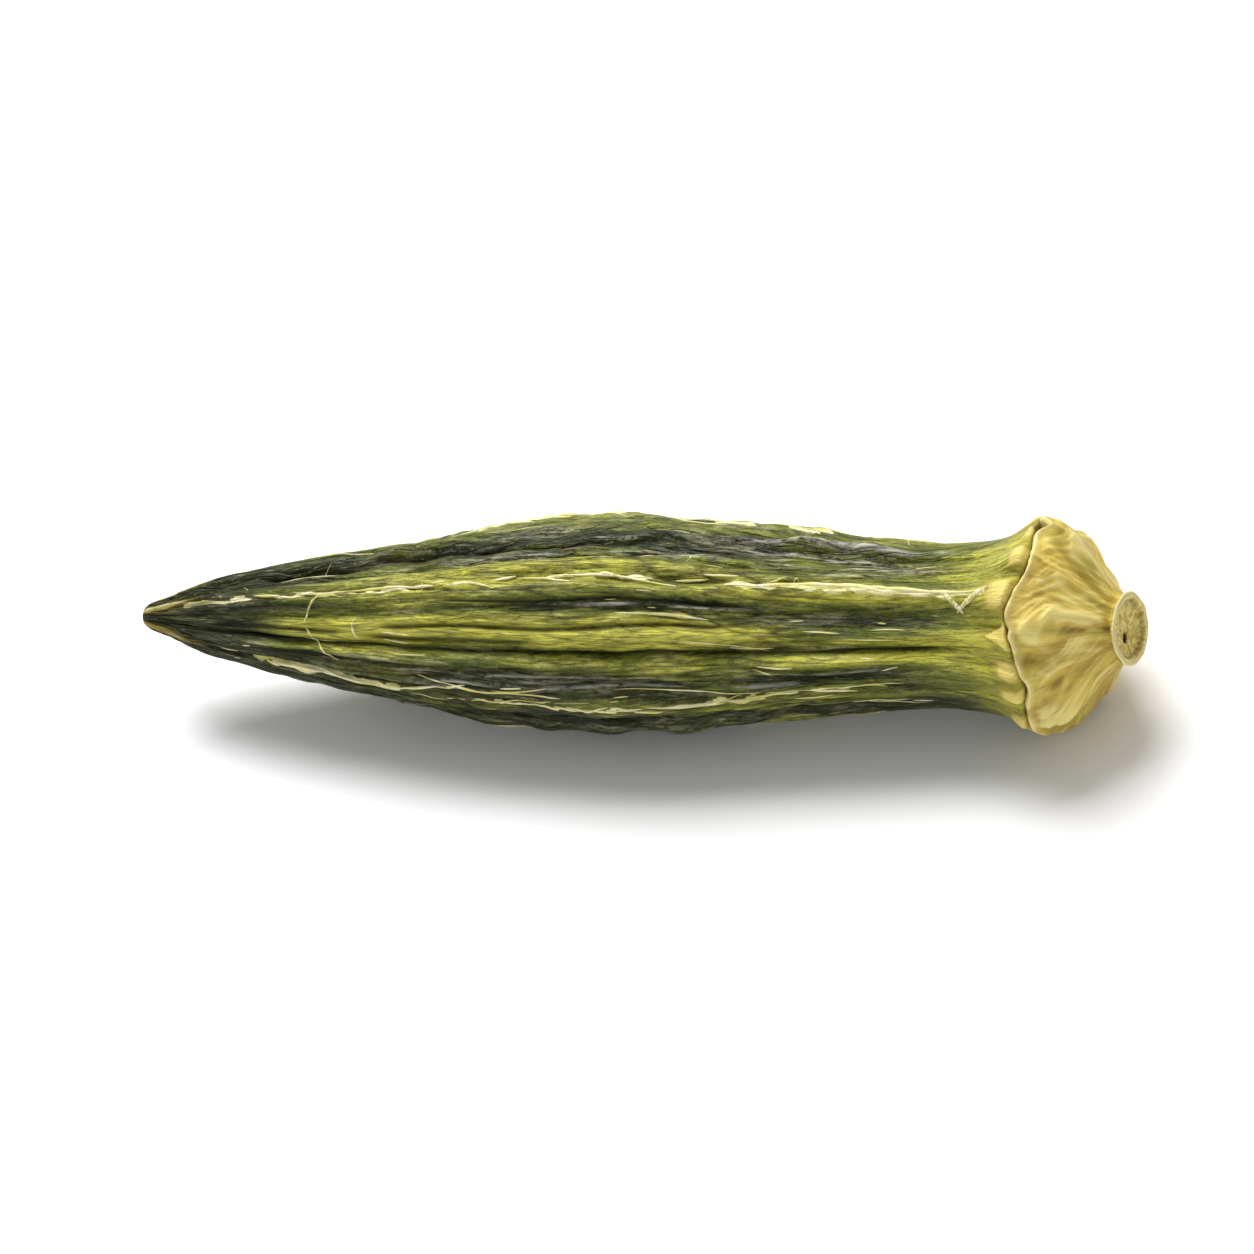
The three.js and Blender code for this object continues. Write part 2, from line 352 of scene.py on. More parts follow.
    def cross_directions(self, at: Array) -> tuple[Array, Array]:
        """The level and the upright direction across the pod: the level one is up crossed with the
        centre line's direction, and the upright one is that direction crossed with the level one.

        Args:
            at: distances along the pod.

        Returns:
            The level and the upright directions, each with a last axis of 3.
        """
        step = 0.05
        along = self.centre_line(at + step) - self.centre_line(at - step)
        along /= np.linalg.norm(along, axis=-1, keepdims=True)
        level = np.cross(np.array([0.0, 0.0, 1.0]), along)
        level /= np.linalg.norm(level, axis=-1, keepdims=True)
        return level, np.cross(along, level)

    @staticmethod
    def middle_of(bump: Bump, order: int, at: Array) -> Array:
        """The angle of a bump's middle along the pod: its own angle, and a slow sine of its wander."""
        phase = 2.0 * math.pi * (order * GOLDEN % 1.0)
        return bump.angle + bump.wander * np.sin(at / 9.0 + phase)

    def bumps(self, kind: tuple[Bump, ...], at: Array, angle: Array) -> Array:
        """How far the bumps of one kind stand out: the sum of their bell curves of the angle, each
        less its mean round the pod.

        Args:
            kind: the bumps.
            at: distances along the pod.
            angle: angles round it, in degrees.

        Returns:
            The sum, as a share.
        """
        total = blank(at, angle)
        for order, bump in enumerate(kind):
            off = turn_between(angle, self.middle_of(bump, order, at))
            mean = bump.width * math.sqrt(math.pi) / 360.0
            total += bump.height * (bell(off, bump.width) - mean)
        return total

    def lobes(self, angle: Array) -> Array:
        """The shoulder's bumps, 0 in the grooves and 1 on top: the size of a cosine of the angle, to
        the power of 0.7, with the angle shifted by two slow waves so that their widths vary."""
        a = np.radians(angle)
        warped = a + 0.08 * np.sin(2.0 * a + 1.0) + 0.05 * np.sin(3.0 * a + 4.0)
        return np.abs(np.cos(self.lobe_count * warped / 2.0 + 0.5)) ** 0.7

    def creases(self, at: Array, angle: Array) -> Array:
        """Lengthwise creases, about -1 to 1: a sum of waves round the pod, each shifting slowly along
        it by a sine of its own.

        Args:
            at: distances along the pod.
            angle: angles round it, in degrees.

        Returns:
            The height of the creases.
        """
        a = np.radians(angle)
        total = blank(at, angle)
        for k in range(self.crease_waves):
            phase = 2.0 * math.pi * ((k + 1) * GOLDEN % 1.0)
            shift = 1.1 * np.sin(at / (7.0 + 1.3 * k) + 3.0 * phase)
            total += np.sin((self.crease_coarsest + 2 * k) * a + phase + shift)
        return total / 4.0

    def seeds(self, at: Array, angle: Array) -> Array:
        """Seeds that show through between the ridges: a sine along the pod, which a cosine of five
        times the angle from the first ridge fades out on the ridges."""
        off = np.radians(angle - self.ridges[0].angle)
        between = 0.5 - 0.5 * np.cos(len(self.ridges) * off)
        return between * np.sin(2.0 * math.pi * at / self.seed_pitch + np.radians(2.0 * angle))

    def surface(
        self,
        outline: dict[str, Array],
        angle: Array,
        relief: Array | float = 0.0,
        shift: Array | float = 0.0,
    ) -> Array:
        """The surface as a function of two parameters, before the pod is set down. The radius is the
        outline's, times one plus the shares of ridges, folds and corners, plus lobes, creases, seeds
        and the finer relief. The point stands that far from the centre line at its angle. Its place
        along the pod waves near the edge of the cap, and near the end of the stalk it falls back by
        the tangent of the cut face's lean times the radius times the cosine of the angle from the
        side that the face leans to. Towards the pith hole it shares the hole's place off the middle.

        Args:
            outline: the outline's values, each an array that goes with angle.
            angle: angles round the pod, in degrees.
            relief: finer relief, outwards.
            shift: how far a point is moved along the pod, towards the stalk.

        Returns:
            The points, with a last axis of 3.
        """
        at, r = outline["at"], outline["r"]
        share = (
            outline["ridge"] * self.bumps(self.ridges, at, angle)
            + outline["fold"] * self.bumps(self.folds, at, angle)
            + outline["corner"] * self.bumps(self.corners, at, angle)
        )
        shrivel = self.crease_depth * self.creases(at, angle) + self.seed_bump * self.seeds(at, angle)
        swell = self.lobe_height * outline["lobe"] * (self.lobes(angle) - self.lobe_mean)
        radius = r * (1.0 + share) + swell + outline["crease"] * shrivel + relief
        off = np.radians(angle - self.corners[0].angle)
        wave = 0.4 * np.sin(np.radians(2.0 * angle)) - 0.8 * np.cos(5.0 * off)
        facing = np.cos(np.radians(angle - self.cut_facing))
        lean = outline["cut"] * math.tan(math.radians(self.cut_lean)) * radius * facing
        place = at + self.edge_wave * outline["edge"] * wave - lean + shift
        inward = outline["cut"] * np.clip(1.0 - r / (self.stalk - 0.5), 0.0, 1.0)
        level, upright = self.cross_directions(place)
        turn = np.radians(angle)
        across = radius * np.cos(turn)
        up = radius * np.sin(turn)
        points = self.centre_line(place) + across[..., None] * level + up[..., None] * upright
        return points + inward[..., None] * np.array(self.hole_off)

    def packed_grid(self) -> Array:
        """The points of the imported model's own grid, before it is set down."""
        stations = self.packed_outline()
        place = np.concatenate([i + np.arange(s.rows) / s.rows for i, s in enumerate(stations)])
        return self.surface(self.outline_rows(stations, place), angles_round(self.columns))


@dataclass
class SetDown:
    """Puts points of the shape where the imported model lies, in metres. The offset is the one that
    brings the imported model's own grid onto its box."""

    shape: PodShape
    offset: Array = field(init=False)

    def __post_init__(self) -> None:
        """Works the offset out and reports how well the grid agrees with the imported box."""
        grid = self.shape.packed_grid().reshape(-1, 3)
        low, high = grid.min(axis=0), grid.max(axis=0)
        box_low, box_high = (np.array(corner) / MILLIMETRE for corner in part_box(NODE))
        self.offset = (box_low + box_high) / 2.0 - (low + high) / 2.0
        self.offset[2] = box_low[2] - self.shape.rest_flat - low[2]
        miss = np.abs((high - low)[:2] - (box_high - box_low)[:2]).max()
        log.info("the shape agrees with the packed box to %.3f mm", miss)

    def __call__(self, points: Array) -> Array:
        """Moves points by the offset and flattens what lies below the surface that the pod rests on.

        Args:
            points: points of the shape, in millimetres.

        Returns:
            The points in the frame, in metres.
        """
        placed = points + self.offset
        placed[..., 2] = np.maximum(placed[..., 2], 0.0)
        return placed * MILLIMETRE


class MeshMaker:
    """Turns grids of points into mesh objects. STEPS is how finely a profile is measured, in steps for
    each of its stations."""

    STEPS = 60

    @staticmethod
    def closed_grids(name: str, points: Array, values: dict[str, Array | float]) -> bpy.types.Object:
        """Closed skins, each from a grid of rows by columns that meets itself round each row, with its
        first and last rows shrunk to poles.

        Args:
            name: the piece's name.
            points: grids by rows by columns by 3, in metres, where the first and the last row of a
                grid are each one point.
            values: by name, a number or three for each point, for each row, or for all.

        Returns:
            The object.
        """
        grids, rows, columns = points.shape[:3]
        inner = np.arange((rows - 2) * columns).reshape(rows - 2, columns) + 1
        last = (rows - 2) * columns + 1
        following = np.roll(inner, -1, axis=1)
        quads = np.stack([inner[:-1], following[:-1], following[1:], inner[1:]], axis=-1)
        first_fan = np.stack([np.zeros(columns, int), following[0], inner[0]], axis=-1)
        last_fan = np.stack([np.full(columns, last), inner[-1], following[-1]], axis=-1)
        one = np.concatenate([quads.reshape(-1), first_fan.reshape(-1), last_fan.reshape(-1)])
        corners = one + (np.arange(grids) * (last + 1))[:, None]
        sizes = np.tile(np.concatenate([np.full(quads.size // 4, 4), np.full(2 * columns, 3)]), grids)

        def flat(grid: Array) -> Array:
            """The grids' values in the order of the mesh's vertices."""
            width = grid.shape[3:]
            grid = np.broadcast_to(grid, (grids, rows, columns, *width))
            middle = grid[:, 1:-1].reshape(grids, -1, *width)
            return np.concatenate([grid[:, :1, 0], middle, grid[:, -1:, 0]], axis=1).reshape(-1, *width)

        vertices = flat(points)
        mesh = bpy.data.meshes.new(name)
        mesh.vertices.add(len(vertices))
        mesh.vertices.foreach_set("co", vertices.astype(np.float32).ravel())
        mesh.loops.add(corners.size)
        mesh.loops.foreach_set("vertex_index", corners.astype(np.int32).ravel())
        mesh.polygons.add(len(sizes))
        starts = np.concatenate([[0], np.cumsum(sizes)[:-1]])
        mesh.polygons.foreach_set("loop_start", starts.astype(np.int32))
        mesh.update(calc_edges=True)
        mesh.shade_smooth()
        for key, value in values.items():
            grid = np.asarray(value)
            kind, slot = ("FLOAT_VECTOR", "vector") if grid.ndim == 4 else ("FLOAT", "value")
            attribute = mesh.attributes.new(key, kind, "POINT")
            attribute.data.foreach_set(slot, flat(grid).astype(np.float32).ravel())
        mesh.validate()
        piece = bpy.data.objects.new(name, mesh)
        bpy.context.scene.collection.objects.link(piece)
        return piece

    @staticmethod
    def closed_grid(name: str, points: Array, values: dict[str, Array]) -> bpy.types.Object:
        """A closed skin from a single grid."""
        alone = {key: value[None] for key, value in values.items()}
        return MeshMaker.closed_grids(name, points[None], alone)

    @staticmethod
    def even_rows(stations: tuple[Station, ...], count: int, crowd: Array) -> Array:
        """Places along an outline, evenly spaced by the length of its profile.

        Args:
            stations: the outline.
            count: how many places.
            crowd: how much closer rows stand in each stretch between two stations, 1 being normal.

        Returns:
            The places, counted in stations.
        """
        fine = np.linspace(0.0, len(stations) - 1.0, MeshMaker.STEPS * len(stations))
        values = PodShape.outline_at(stations, fine)
        steps = np.hypot(np.diff(values["at"]), np.diff(values["r"]))
        steps = steps * crowd[np.floor(fine[:-1] + 1e-9).astype(int)]
        walked = np.concatenate([[0.0], np.cumsum(steps)])
        return np.interp(np.linspace(0.0, walked[-1], count), walked, fine)


@dataclass(frozen=True)
class Furrow:
    """A sharp lengthwise crease of the skin, or a thin line that stands up, from one place along the
    pod to another, with its half-width and its depth or height."""

    start: float
    end: float
    angle: float
    width: float
    depth: float


@dataclass(frozen=True)
class Band:
    """A lengthwise band of lighter or darker skin, with its half-width in degrees."""

    start: float
    end: float
    angle: float
    width: float
    tone: float


@dataclass(frozen=True)
class Edge:
    """A thin pale edge that a ridge carries, with its half-width, and how broken it is, from -0.5 for
    whole to 0.5 for gone. off is how far it lies beside the ridge's middle, in degrees."""

    start: float
    end: float
    ridge: int
    off: float
    width: float
    broken: float


@dataclass(frozen=True)
class Swelling:
    """A rounded yellow swelling of the shoulder, with its half-widths along and round the pod."""

    at: float
    angle: float
    length: float
    width: float
    height: float


@dataclass
class PodSkin:
    """The skin from the tip to the crack under the cap."""

    shape: PodShape
    set_down: SetDown
    rows: int = 230
    columns: int = 430
    seed: int = 7
    pleat: float = 0.34
    rib: float = 0.2
    cord: float = 0.1
    net: float = 0.16
    fine_net: float = 0.08
    thread: float = 0.06
    ripple: float = 0.03
    edge_height: float = 0.2
    frayed: float = 0.22
    steepness: float = 3.4
    flap: Swelling = Swelling(68.0, 141, 2.6, 8, 0.22)
    edges: tuple[Edge, ...] = entries(
        Edge, (46, 70, 0, 2.5, 0.32, -0.5), (-3, 12, 0, 0.0, 0.3, -0.1), (10, 45, 0, 1.0, 0.13, -0.02),
        (8, 30, 1, 0.0, 0.24, -0.15), (26, 63, 1, 0.0, 0.15, -0.3), (5, 60, 2, 0.0, 0.2, -0.05),
        (5, 60, 3, 0.0, 0.2, -0.05), (-3, 14, 4, 0.0, 0.35, -0.2), (10, 60, 4, 0.0, 0.2, -0.05),
    )
    # painted shade: the bands at 220 and 270 degrees darken the underside, those at 37, 60 and 74 the top
    bands: tuple[Band, ...] = entries(
        Band, (0, 62, 74, 16, -0.7), (22, 50, 102, 8, 0.35), (48, 67, 117, 4, 0.55),
        (10, 30, 116, 5, 0.3), (33, 51, 122, 3, -0.6), (12, 52, 139, 9, 1.1), (48, 66, 132, 7, -0.6),
        (52, 68, 148, 5, 0.25), (8, 65, 151, 2.0, -0.35), (10, 26, 158, 4, 0.35), (0, 40, 166, 9, -0.35),
        (41, 46, 160, 4, 0.5), (51, 66, 158, 5, 0.5), (24, 62, 171, 8, -0.5), (0, 67, 220, 33, -1.0),
        (5, 60, 37, 9, -0.3), (5, 50, 3, 6, 0.4), (5, 60, 325, 7, 0.3), (8, 56, 262, 6, 0.5),
        (5, 60, 60, 9, -0.3), (5, 60, 345, 8, -0.3), (0, 60, 270, 14, -0.15),
    )
    swellings: tuple[Swelling, ...] = entries(
        Swelling, (45.3, 129, 0.6, 2.2, 0.08), (42.2, 67, 0.9, 2.4, 0.05), (69.5, 118, 2.0, 12, 0.75),
        (70.2, 93, 1.3, 9, 0.6), (70.4, 70, 1.2, 8, 0.4), (69.9, 161, 1.5, 6.5, 0.65),
        (70.1, 177, 1.5, 7, 0.65), (70.1, 197, 1.2, 7, 0.45), (69.8, 219, 1.7, 10, 0.6),
        (70.1, 243, 1.2, 8, 0.4), (70.0, 266, 1.4, 10, 0.45), (69.7, 308, 1.8, 10, 0.6),
        (70.1, 336, 1.3, 8, 0.5), (69.8, 8, 1.6, 10, 0.6), (70.1, 34, 1.3, 8, 0.45),
        (70.2, 51, 1.2, 6, 0.45),
    )

    at: Array = field(init=False, repr=False)
    points: Array = field(init=False, repr=False)
    outer: int = field(init=False, repr=False)

    def outline(self) -> tuple[Station, ...]:
        """The body's outline, closed by a floor inside the cap."""
        start, foot = self.shape.cap_start, self.shape.shoulder
        return self.shape.body_outline() + (
            Station(start, foot - 0.7, corner=0.06, lobe=0.3, edge=1),
            Station(start + 0.1, foot - 1.5, corner=0.05, edge=1),
            Station(start + 0.1, foot - 3.5, edge=1),
            Station(start + 0.1, 0),
        )

    def random(self, order: int, at: Array, angle: Array, across: float, stretch: float) -> Array:
        """A random field of its own for each order. Its cells are across wide round the belly, and
        stretch times longer along the pod."""
        reach = self.shape.belly / across
        return ring_field(self.seed + order, reach, np.radians(angle), at / (across * stretch))

    def stray(self, at: Array, angle: Array) -> Array:
        """How far lengthwise lines stray sideways, in degrees: a slow field and a quicker one."""
        return 8.0 * self.random(0, at, angle, 4.0, 3.0) + 3.0 * self.random(1, at, angle, 1.5, 3.5)

    def drawn(
        self, order: int, count: int, starts: Span, spread: float, widths: Span, depths: Span, last: float
    ) -> tuple[Furrow, ...]:
        """A seeded draw of furrows or crest lines all round the pod.

        Args:
            order: seeds the draw, with the skin's own seed.
            count: how many.
            starts: the first and the last place where one may start.
            spread: the scale of their lengths, which follow a gamma curve from 5 mm.
            widths: the least and the largest half-width.
            depths: the least and the largest depth or height.
            last: where the longest end.

        Returns:
            The lines.
        """
        draw = np.random.default_rng(self.seed + order)
        start = draw.uniform(*starts, count)
        end = np.minimum(start + draw.gamma(3.0, spread, count) + 5.0, last)
        rest = [draw.uniform(*span, count) for span in ((0, 360), widths, depths)]
        return entries(Furrow, *zip(start, end, *rest))

    def furrows(self) -> tuple[Furrow, ...]:
        """The sharp creases: the two on the side that faces the camera, then a seeded draw."""
        seen = entries(Furrow, (8, 66, 151, 0.14, 0.4), (25, 50, 121, 0.14, 0.35))
        return seen + self.drawn(20, 44, (4, 50), 4.0, (0.14, 0.26), (0.18, 0.42), 66.0)

    def crest_lines(self) -> tuple[Furrow, ...]:
        """Thin lines that stand up: those on the side that faces the camera, of which six are the row
        on the upper flank of the neck, then a seeded draw."""
        seen = entries(
            Furrow, (44, 67, 99, 0.17, 0.26), (41, 66, 92, 0.17, 0.28), (47, 67, 86, 0.15, 0.24),
            (42, 64, 80, 0.17, 0.26), (45, 66, 73, 0.17, 0.26), (40, 62, 67, 0.16, 0.24),
            (21, 34, 127, 0.14, 0.2), (31, 53, 125, 0.16, 0.24), (18, 42, 96, 0.14, 0.2),
            (24, 50, 88, 0.15, 0.22), (20, 44, 166, 0.14, 0.2), (24, 60, 172, 0.15, 0.22),
            (12, 34, 176, 0.13, 0.18), (48, 62, 163, 0.13, 0.18),
        )
        return seen + self.drawn(60, 64, (5, 54), 3.0, (0.09, 0.15), (0.08, 0.18), 67.0)

    def creased(
        self, kind: tuple[Furrow, ...], outline: dict[str, Array], angle: Array, stray: Array
    ) -> Array:
        """How deep furrows cut, or how high crest lines stand: for each the bell curve of the distance
        from its line, faded out at its two ends, and the largest of them all at each point.

        Args:
            kind: the furrows or the crest lines.
            outline: the outline's values.
            angle: angles round the pod, in degrees.
            stray: how far lines stray, in degrees.

        Returns:
            The depth in millimetres.
        """
        at, r = outline["at"], outline["r"]
        deepest = blank(at, angle)
        for furrow in kind:
            off = np.radians(turn_between(angle + 0.7 * stray, furrow.angle)) * r
            ends = within(furrow.start, furrow.start + 3, furrow.end - 3, furrow.end, at)
            deepest = np.maximum(deepest, furrow.depth * ends * bell(off, furrow.width))
        return deepest

    def ridge_edges(self, outline: dict[str, Array], angle: Array, stray: Array) -> Array:
        """The thin pale edges of the ridges: for each the bell curve of the distance from its ragged
        line, faded out at its ends and where a random field is low.

        Args:
            outline: the outline's values.
            angle: angles round the pod, in degrees.
            stray: how far lines stray, in degrees.

        Returns:
            How far an edge shows, 0 to 1.
        """
        at, r = outline["at"], outline["r"]
        shown = blank(at, angle)
        ragged = 0.35 * self.random(22, at, angle, 1.2, 1.3) + 0.2 * self.random(24, at, angle, 0.6, 1.5)
        gaps = self.random(8, at, angle, 1.0, 3.5)
        for edge in self.edges:
            middle = self.shape.middle_of(self.shape.ridges[edge.ridge], edge.ridge, at) + edge.off
            off = np.radians(turn_between(angle + 0.4 * stray, middle)) * np.maximum(r, 1.0)
            ends = within(edge.start, edge.start + 4, edge.end - 3, edge.end, at)
            whole = smooth(edge.broken - 0.12, edge.broken + 0.12, gaps)
            shown = np.maximum(shown, ends * whole * bell(off + ragged, edge.width))
        return shown

    def wrinkles(self, outline: dict[str, Array], angle: Array, stray: Array) -> dict[str, Array]:
        """The shrivelled skin, from random fields that are drawn out along the pod. Pleats are the size
        of a field. A net is the smaller of the sizes of two fields that lean opposite ways, so that it
        has sharp creases which meet and part. Ribs, cords and threads, each finer than the one before,
        and the frayed ridge ends of the tip are sharp crests, and ripples are a field that is short.

        Args:
            outline: the outline's values.
            angle: angles round the pod, in degrees.
            stray: how far lines stray, in degrees.

        Returns:
            By name: relief in millimetres, height of it as about -1 to 1, and lines, pale and creases,
            which say how far pale crests, partly a painted sheen, cream edges and the painted shade of the
            creases show.
        """
        at, r = outline["at"], outline["r"]
        bent = angle + stray
        patch = np.clip(0.8 + 1.1 * self.random(2, at, angle, 5.5, 2.5), 0.3, 1.3)
        pleat = 2.6 * np.abs(self.random(3, at, bent, 2.3, 7.0)) - 0.55
        nets = []
        for order, across, stretch in ((15, 1.2, 6.5), (17, 0.62, 5.5)):
            left = np.abs(self.random(order, at, bent + 0.5 * at, across, stretch))
            right = np.abs(self.random(order + 1, at, bent - 0.5 * at, across, stretch))
            nets.append(np.minimum(left, right))
        coarse, fine = (4.0 * net - 0.5 for net in nets)
        rib = crested(self.random(4, at, bent, 1.6, 12.0), self.steepness)
        cord = crested(self.random(21, at, bent, 0.85, 16.0), self.steepness)
        thread = crested(self.random(5, at, bent, 0.55, 12.0), self.steepness)
        near_tip = 1.0 - smooth(4.0, 10.0, at)
        frayed = near_tip * crested(self.random(9, at, angle, 0.8, 5.0), self.steepness)
        ripple = self.random(6, at, angle, 1.1, 0.8)
        calm = (1.0 - 0.35 * smooth(50.0, 64.0, at)) * np.clip(r / 6.0, 0.1, 1.0)
        calm = calm * np.clip(outline["crease"] * 1.3, 0.0, 1.0)
        edge = self.ridge_edges(outline, angle, stray)
        pleated = 1.0 + 0.8 * bell(turn_between(angle, 82.0), 24.0) * smooth(36.0, 46.0, at)
        relief = self.pleat * pleat + patch * (self.net * coarse + self.fine_net * fine)
        relief = relief + pleated * (self.rib * rib + self.cord * cord)
        relief = calm * (relief + self.thread * thread + self.ripple * ripple + self.edge_height * edge)
        relief = relief + self.frayed * frayed * np.clip(r / 1.3 - 0.2, 0.0, 1.0)
        height = 0.4 * pleat + 0.2 * rib + 0.15 * cord + 0.2 * coarse + 0.1 * fine
        broken = smooth(-0.15, 0.2, self.random(7, at, angle, 1.4, 3.0))
        creases = np.maximum(1.0 - smooth(0.0, 0.09, nets[0]), 0.6 - 0.6 * smooth(0.0, 0.1, nets[1]))
        lines = np.maximum(smooth(0.72, 0.92, rib), 0.8 * smooth(0.7, 0.95, cord))
        lines = broken * np.maximum(lines, 0.6 * smooth(0.6, 0.9, thread))
        return {
            "relief": relief,
            "height": calm * height + 0.3 * frayed,
            "lines": np.maximum(calm * lines, edge),
            "pale": smooth(0.35, 0.8, edge + 0.5 * self.random(23, at, angle, 0.35, 3.0)),
            "creases": calm * patch * creases,
        }

    def tone(self, at: Array, angle: Array) -> Array:
        """How light the skin is, about 0 to 1: the sum of the bands and of patches of a drawn-out
        random field, lighter towards the neck. The dark bands round the underside and along the top are
        painted shade."""
        lighter = 0.37 * smooth(6.0, 23.0, at) + 0.1 * smooth(48.0, 60.0, at)
        total = 0.06 + (lighter + 0.14 * smooth(60.0, 69.0, at)) + blank(at, angle)
        total += 0.5 * self.random(10, at, angle, 3.5, 4.0) + 0.35 * self.random(11, at, angle, 1.2, 7.0)
        for band in self.bands:
            reach = within(band.start - 3, band.start + 3, band.end - 4, band.end + 4, at)
            total += 0.6 * band.tone * reach * bell(turn_between(angle, band.angle), band.width)
        return total

    def tip(self, at: Array, angle: Array) -> Array:
        """How straw-coloured the tip is, 0 to 1: most on the ends of the five ridges."""
        crest = np.clip(self.shape.bumps(self.shape.ridges, 2.0 + 0.0 * at, angle) + 0.25, 0.0, 1.0)
        ragged = at + 5.0 * self.random(19, at, angle, 1.0, 2.0)
        return (0.1 + 0.9 * crest) * (1.0 - smooth(1.5, 6.5, ragged))

    def shoulder(self, at: Array, angle: Array) -> tuple[Array, Array]:
        """The yellow swellings under the cap, and one flat pointed flap between two of them.

        Args:
            at: distances along the pod.
            angle: angles round it, in degrees.

        Returns:
            The relief in millimetres, and how yellow the skin is, 0 to 1.
        """
        relief = blank(at, angle)
        uneven = self.random(14, at, angle, 1.6, 1.5)
        ripe = 0.4 * smooth(65.0, 70.8, at + 4.0 * uneven)
        for swelling in self.swellings:
            off = turn_between(angle, swelling.angle) / swelling.width
            past = (at - swelling.at) / swelling.length
            dome = np.exp(-(np.abs(off) ** 3.0) - past**2)
            relief = np.maximum(relief, swelling.height * dome)
            ripe = np.maximum(ripe, smooth(0.0, 1.1, dome + 0.3 * uneven))
        off = np.abs(turn_between(angle, self.flap.angle)) / self.flap.width
        shown = smooth(-0.08, 0.08, (at - self.flap.at) / self.flap.length - off)
        return np.maximum(relief, self.flap.height * shown), np.maximum(ripe, shown)

    def build(self) -> bpy.types.Object:
        """Makes the skin and keeps on it what its finish reads: tone (with painted shade on the underside
        and the top), height, lines (the crests of ribs and cords) and crest (the thin lines), both pale
        partly as a painted sheen, pale (the edges), ripe (yellow), furrow (painted shade in the furrows
        and creases) and grain.

        Returns:
            The piece.
        """
        stations = self.outline()
        crowd = np.ones(len(stations))
        crowd[-7:-3] = 2.5
        crowd[-3:] = 0.3
        place = MeshMaker.even_rows(stations, self.rows, crowd)
        outline, angle = self.shape.outline_rows(stations, place), angles_round(self.columns)
        at = outline["at"]
        stray = self.stray(at, angle)
        skin = self.wrinkles(outline, angle, stray)
        furrow = self.creased(self.furrows(), outline, angle, stray)
        crest = self.creased(self.crest_lines(), outline, angle, stray)
        crest = crest * smooth(-0.3, 0.1, self.random(25, at, angle, 1.0, 5.0))
        swelling, ripe = self.shoulder(at, angle)
        shown = np.clip(outline["crease"] * 1.6, 0.0, 1.0)
        groove = self.shape.folds[1]
        off = turn_between(angle, self.shape.middle_of(groove, 1, at))
        filled = 0.9 * outline["fold"] * outline["r"] * bell(off, groove.width)
        outside = 1.0 - smooth(-3.5, -3.0, place[:, None] - len(stations) + 1.0)
        relief = skin["relief"] + filled + shown * (crest - furrow) + swelling
        points = self.set_down(self.shape.surface(outline, angle, relief * outside))
        values = {
            "tone": self.tone(at, angle),
            "height": skin["height"],
            "lines": 0.45 * skin["lines"],
            "crest": shown * smooth(0.08, 0.26, crest),
            "pale": skin["pale"],
            "ripe": np.maximum(ripe, self.tip(at, angle)),
            # furrow is painted shade: the sharp furrows and the net's creases coloured dark
            "furrow": np.maximum(shown * np.clip(furrow / 0.35, 0.0, 1.0), 0.75 * skin["creases"]),
            "grain": grain_of(self.shape.belly, np.radians(angle), at),
        }
        self.outer = int(np.searchsorted(place, len(self.shape.body_outline()) - 2.0))
        self.at, self.points = outline["at"][:, 0], points
        return MeshMaker.closed_grid("pod_skin", points, values)

    def on_surface(self, at: Array, angle: Array) -> Array:
        """Points of the finished skin, between its vertices, by a weighted mean of the four round them.

        Args:
            at: distances along the pod, short of the crack.
            angle: angles round it, in degrees.

        Returns:
            The points in metres, with a last axis of 3.
        """
        row = np.interp(at, self.at[:self.outer], np.arange(self.outer))
        column = angle % 360.0 / 360.0 * self.columns
        i, j = np.floor(row).astype(int), np.floor(column).astype(int)
        s, t = (row - i)[..., None], (column - j)[..., None]
        k, j, nxt = np.minimum(i + 1, self.rows - 1), j % self.columns, (j + 1) % self.columns
        near = (1 - t) * self.points[i, j] + t * self.points[i, nxt]
        far = (1 - t) * self.points[k, j] + t * self.points[k, nxt]
        return (1 - s) * near + s * far


@dataclass(frozen=True)
class Fibre:
    """A pale raised fibre on the skin: an arc that starts at a place and an angle of the pod. heading
    is the direction it starts in, 0 towards the stalk, and sweep how far it turns, both in degrees;
    width is its half-width."""

    at: float
    angle: float
    length: float
    heading: float = 0.0
    sweep: float = 0.0
    width: float = 0.1
    height: float = 0.09


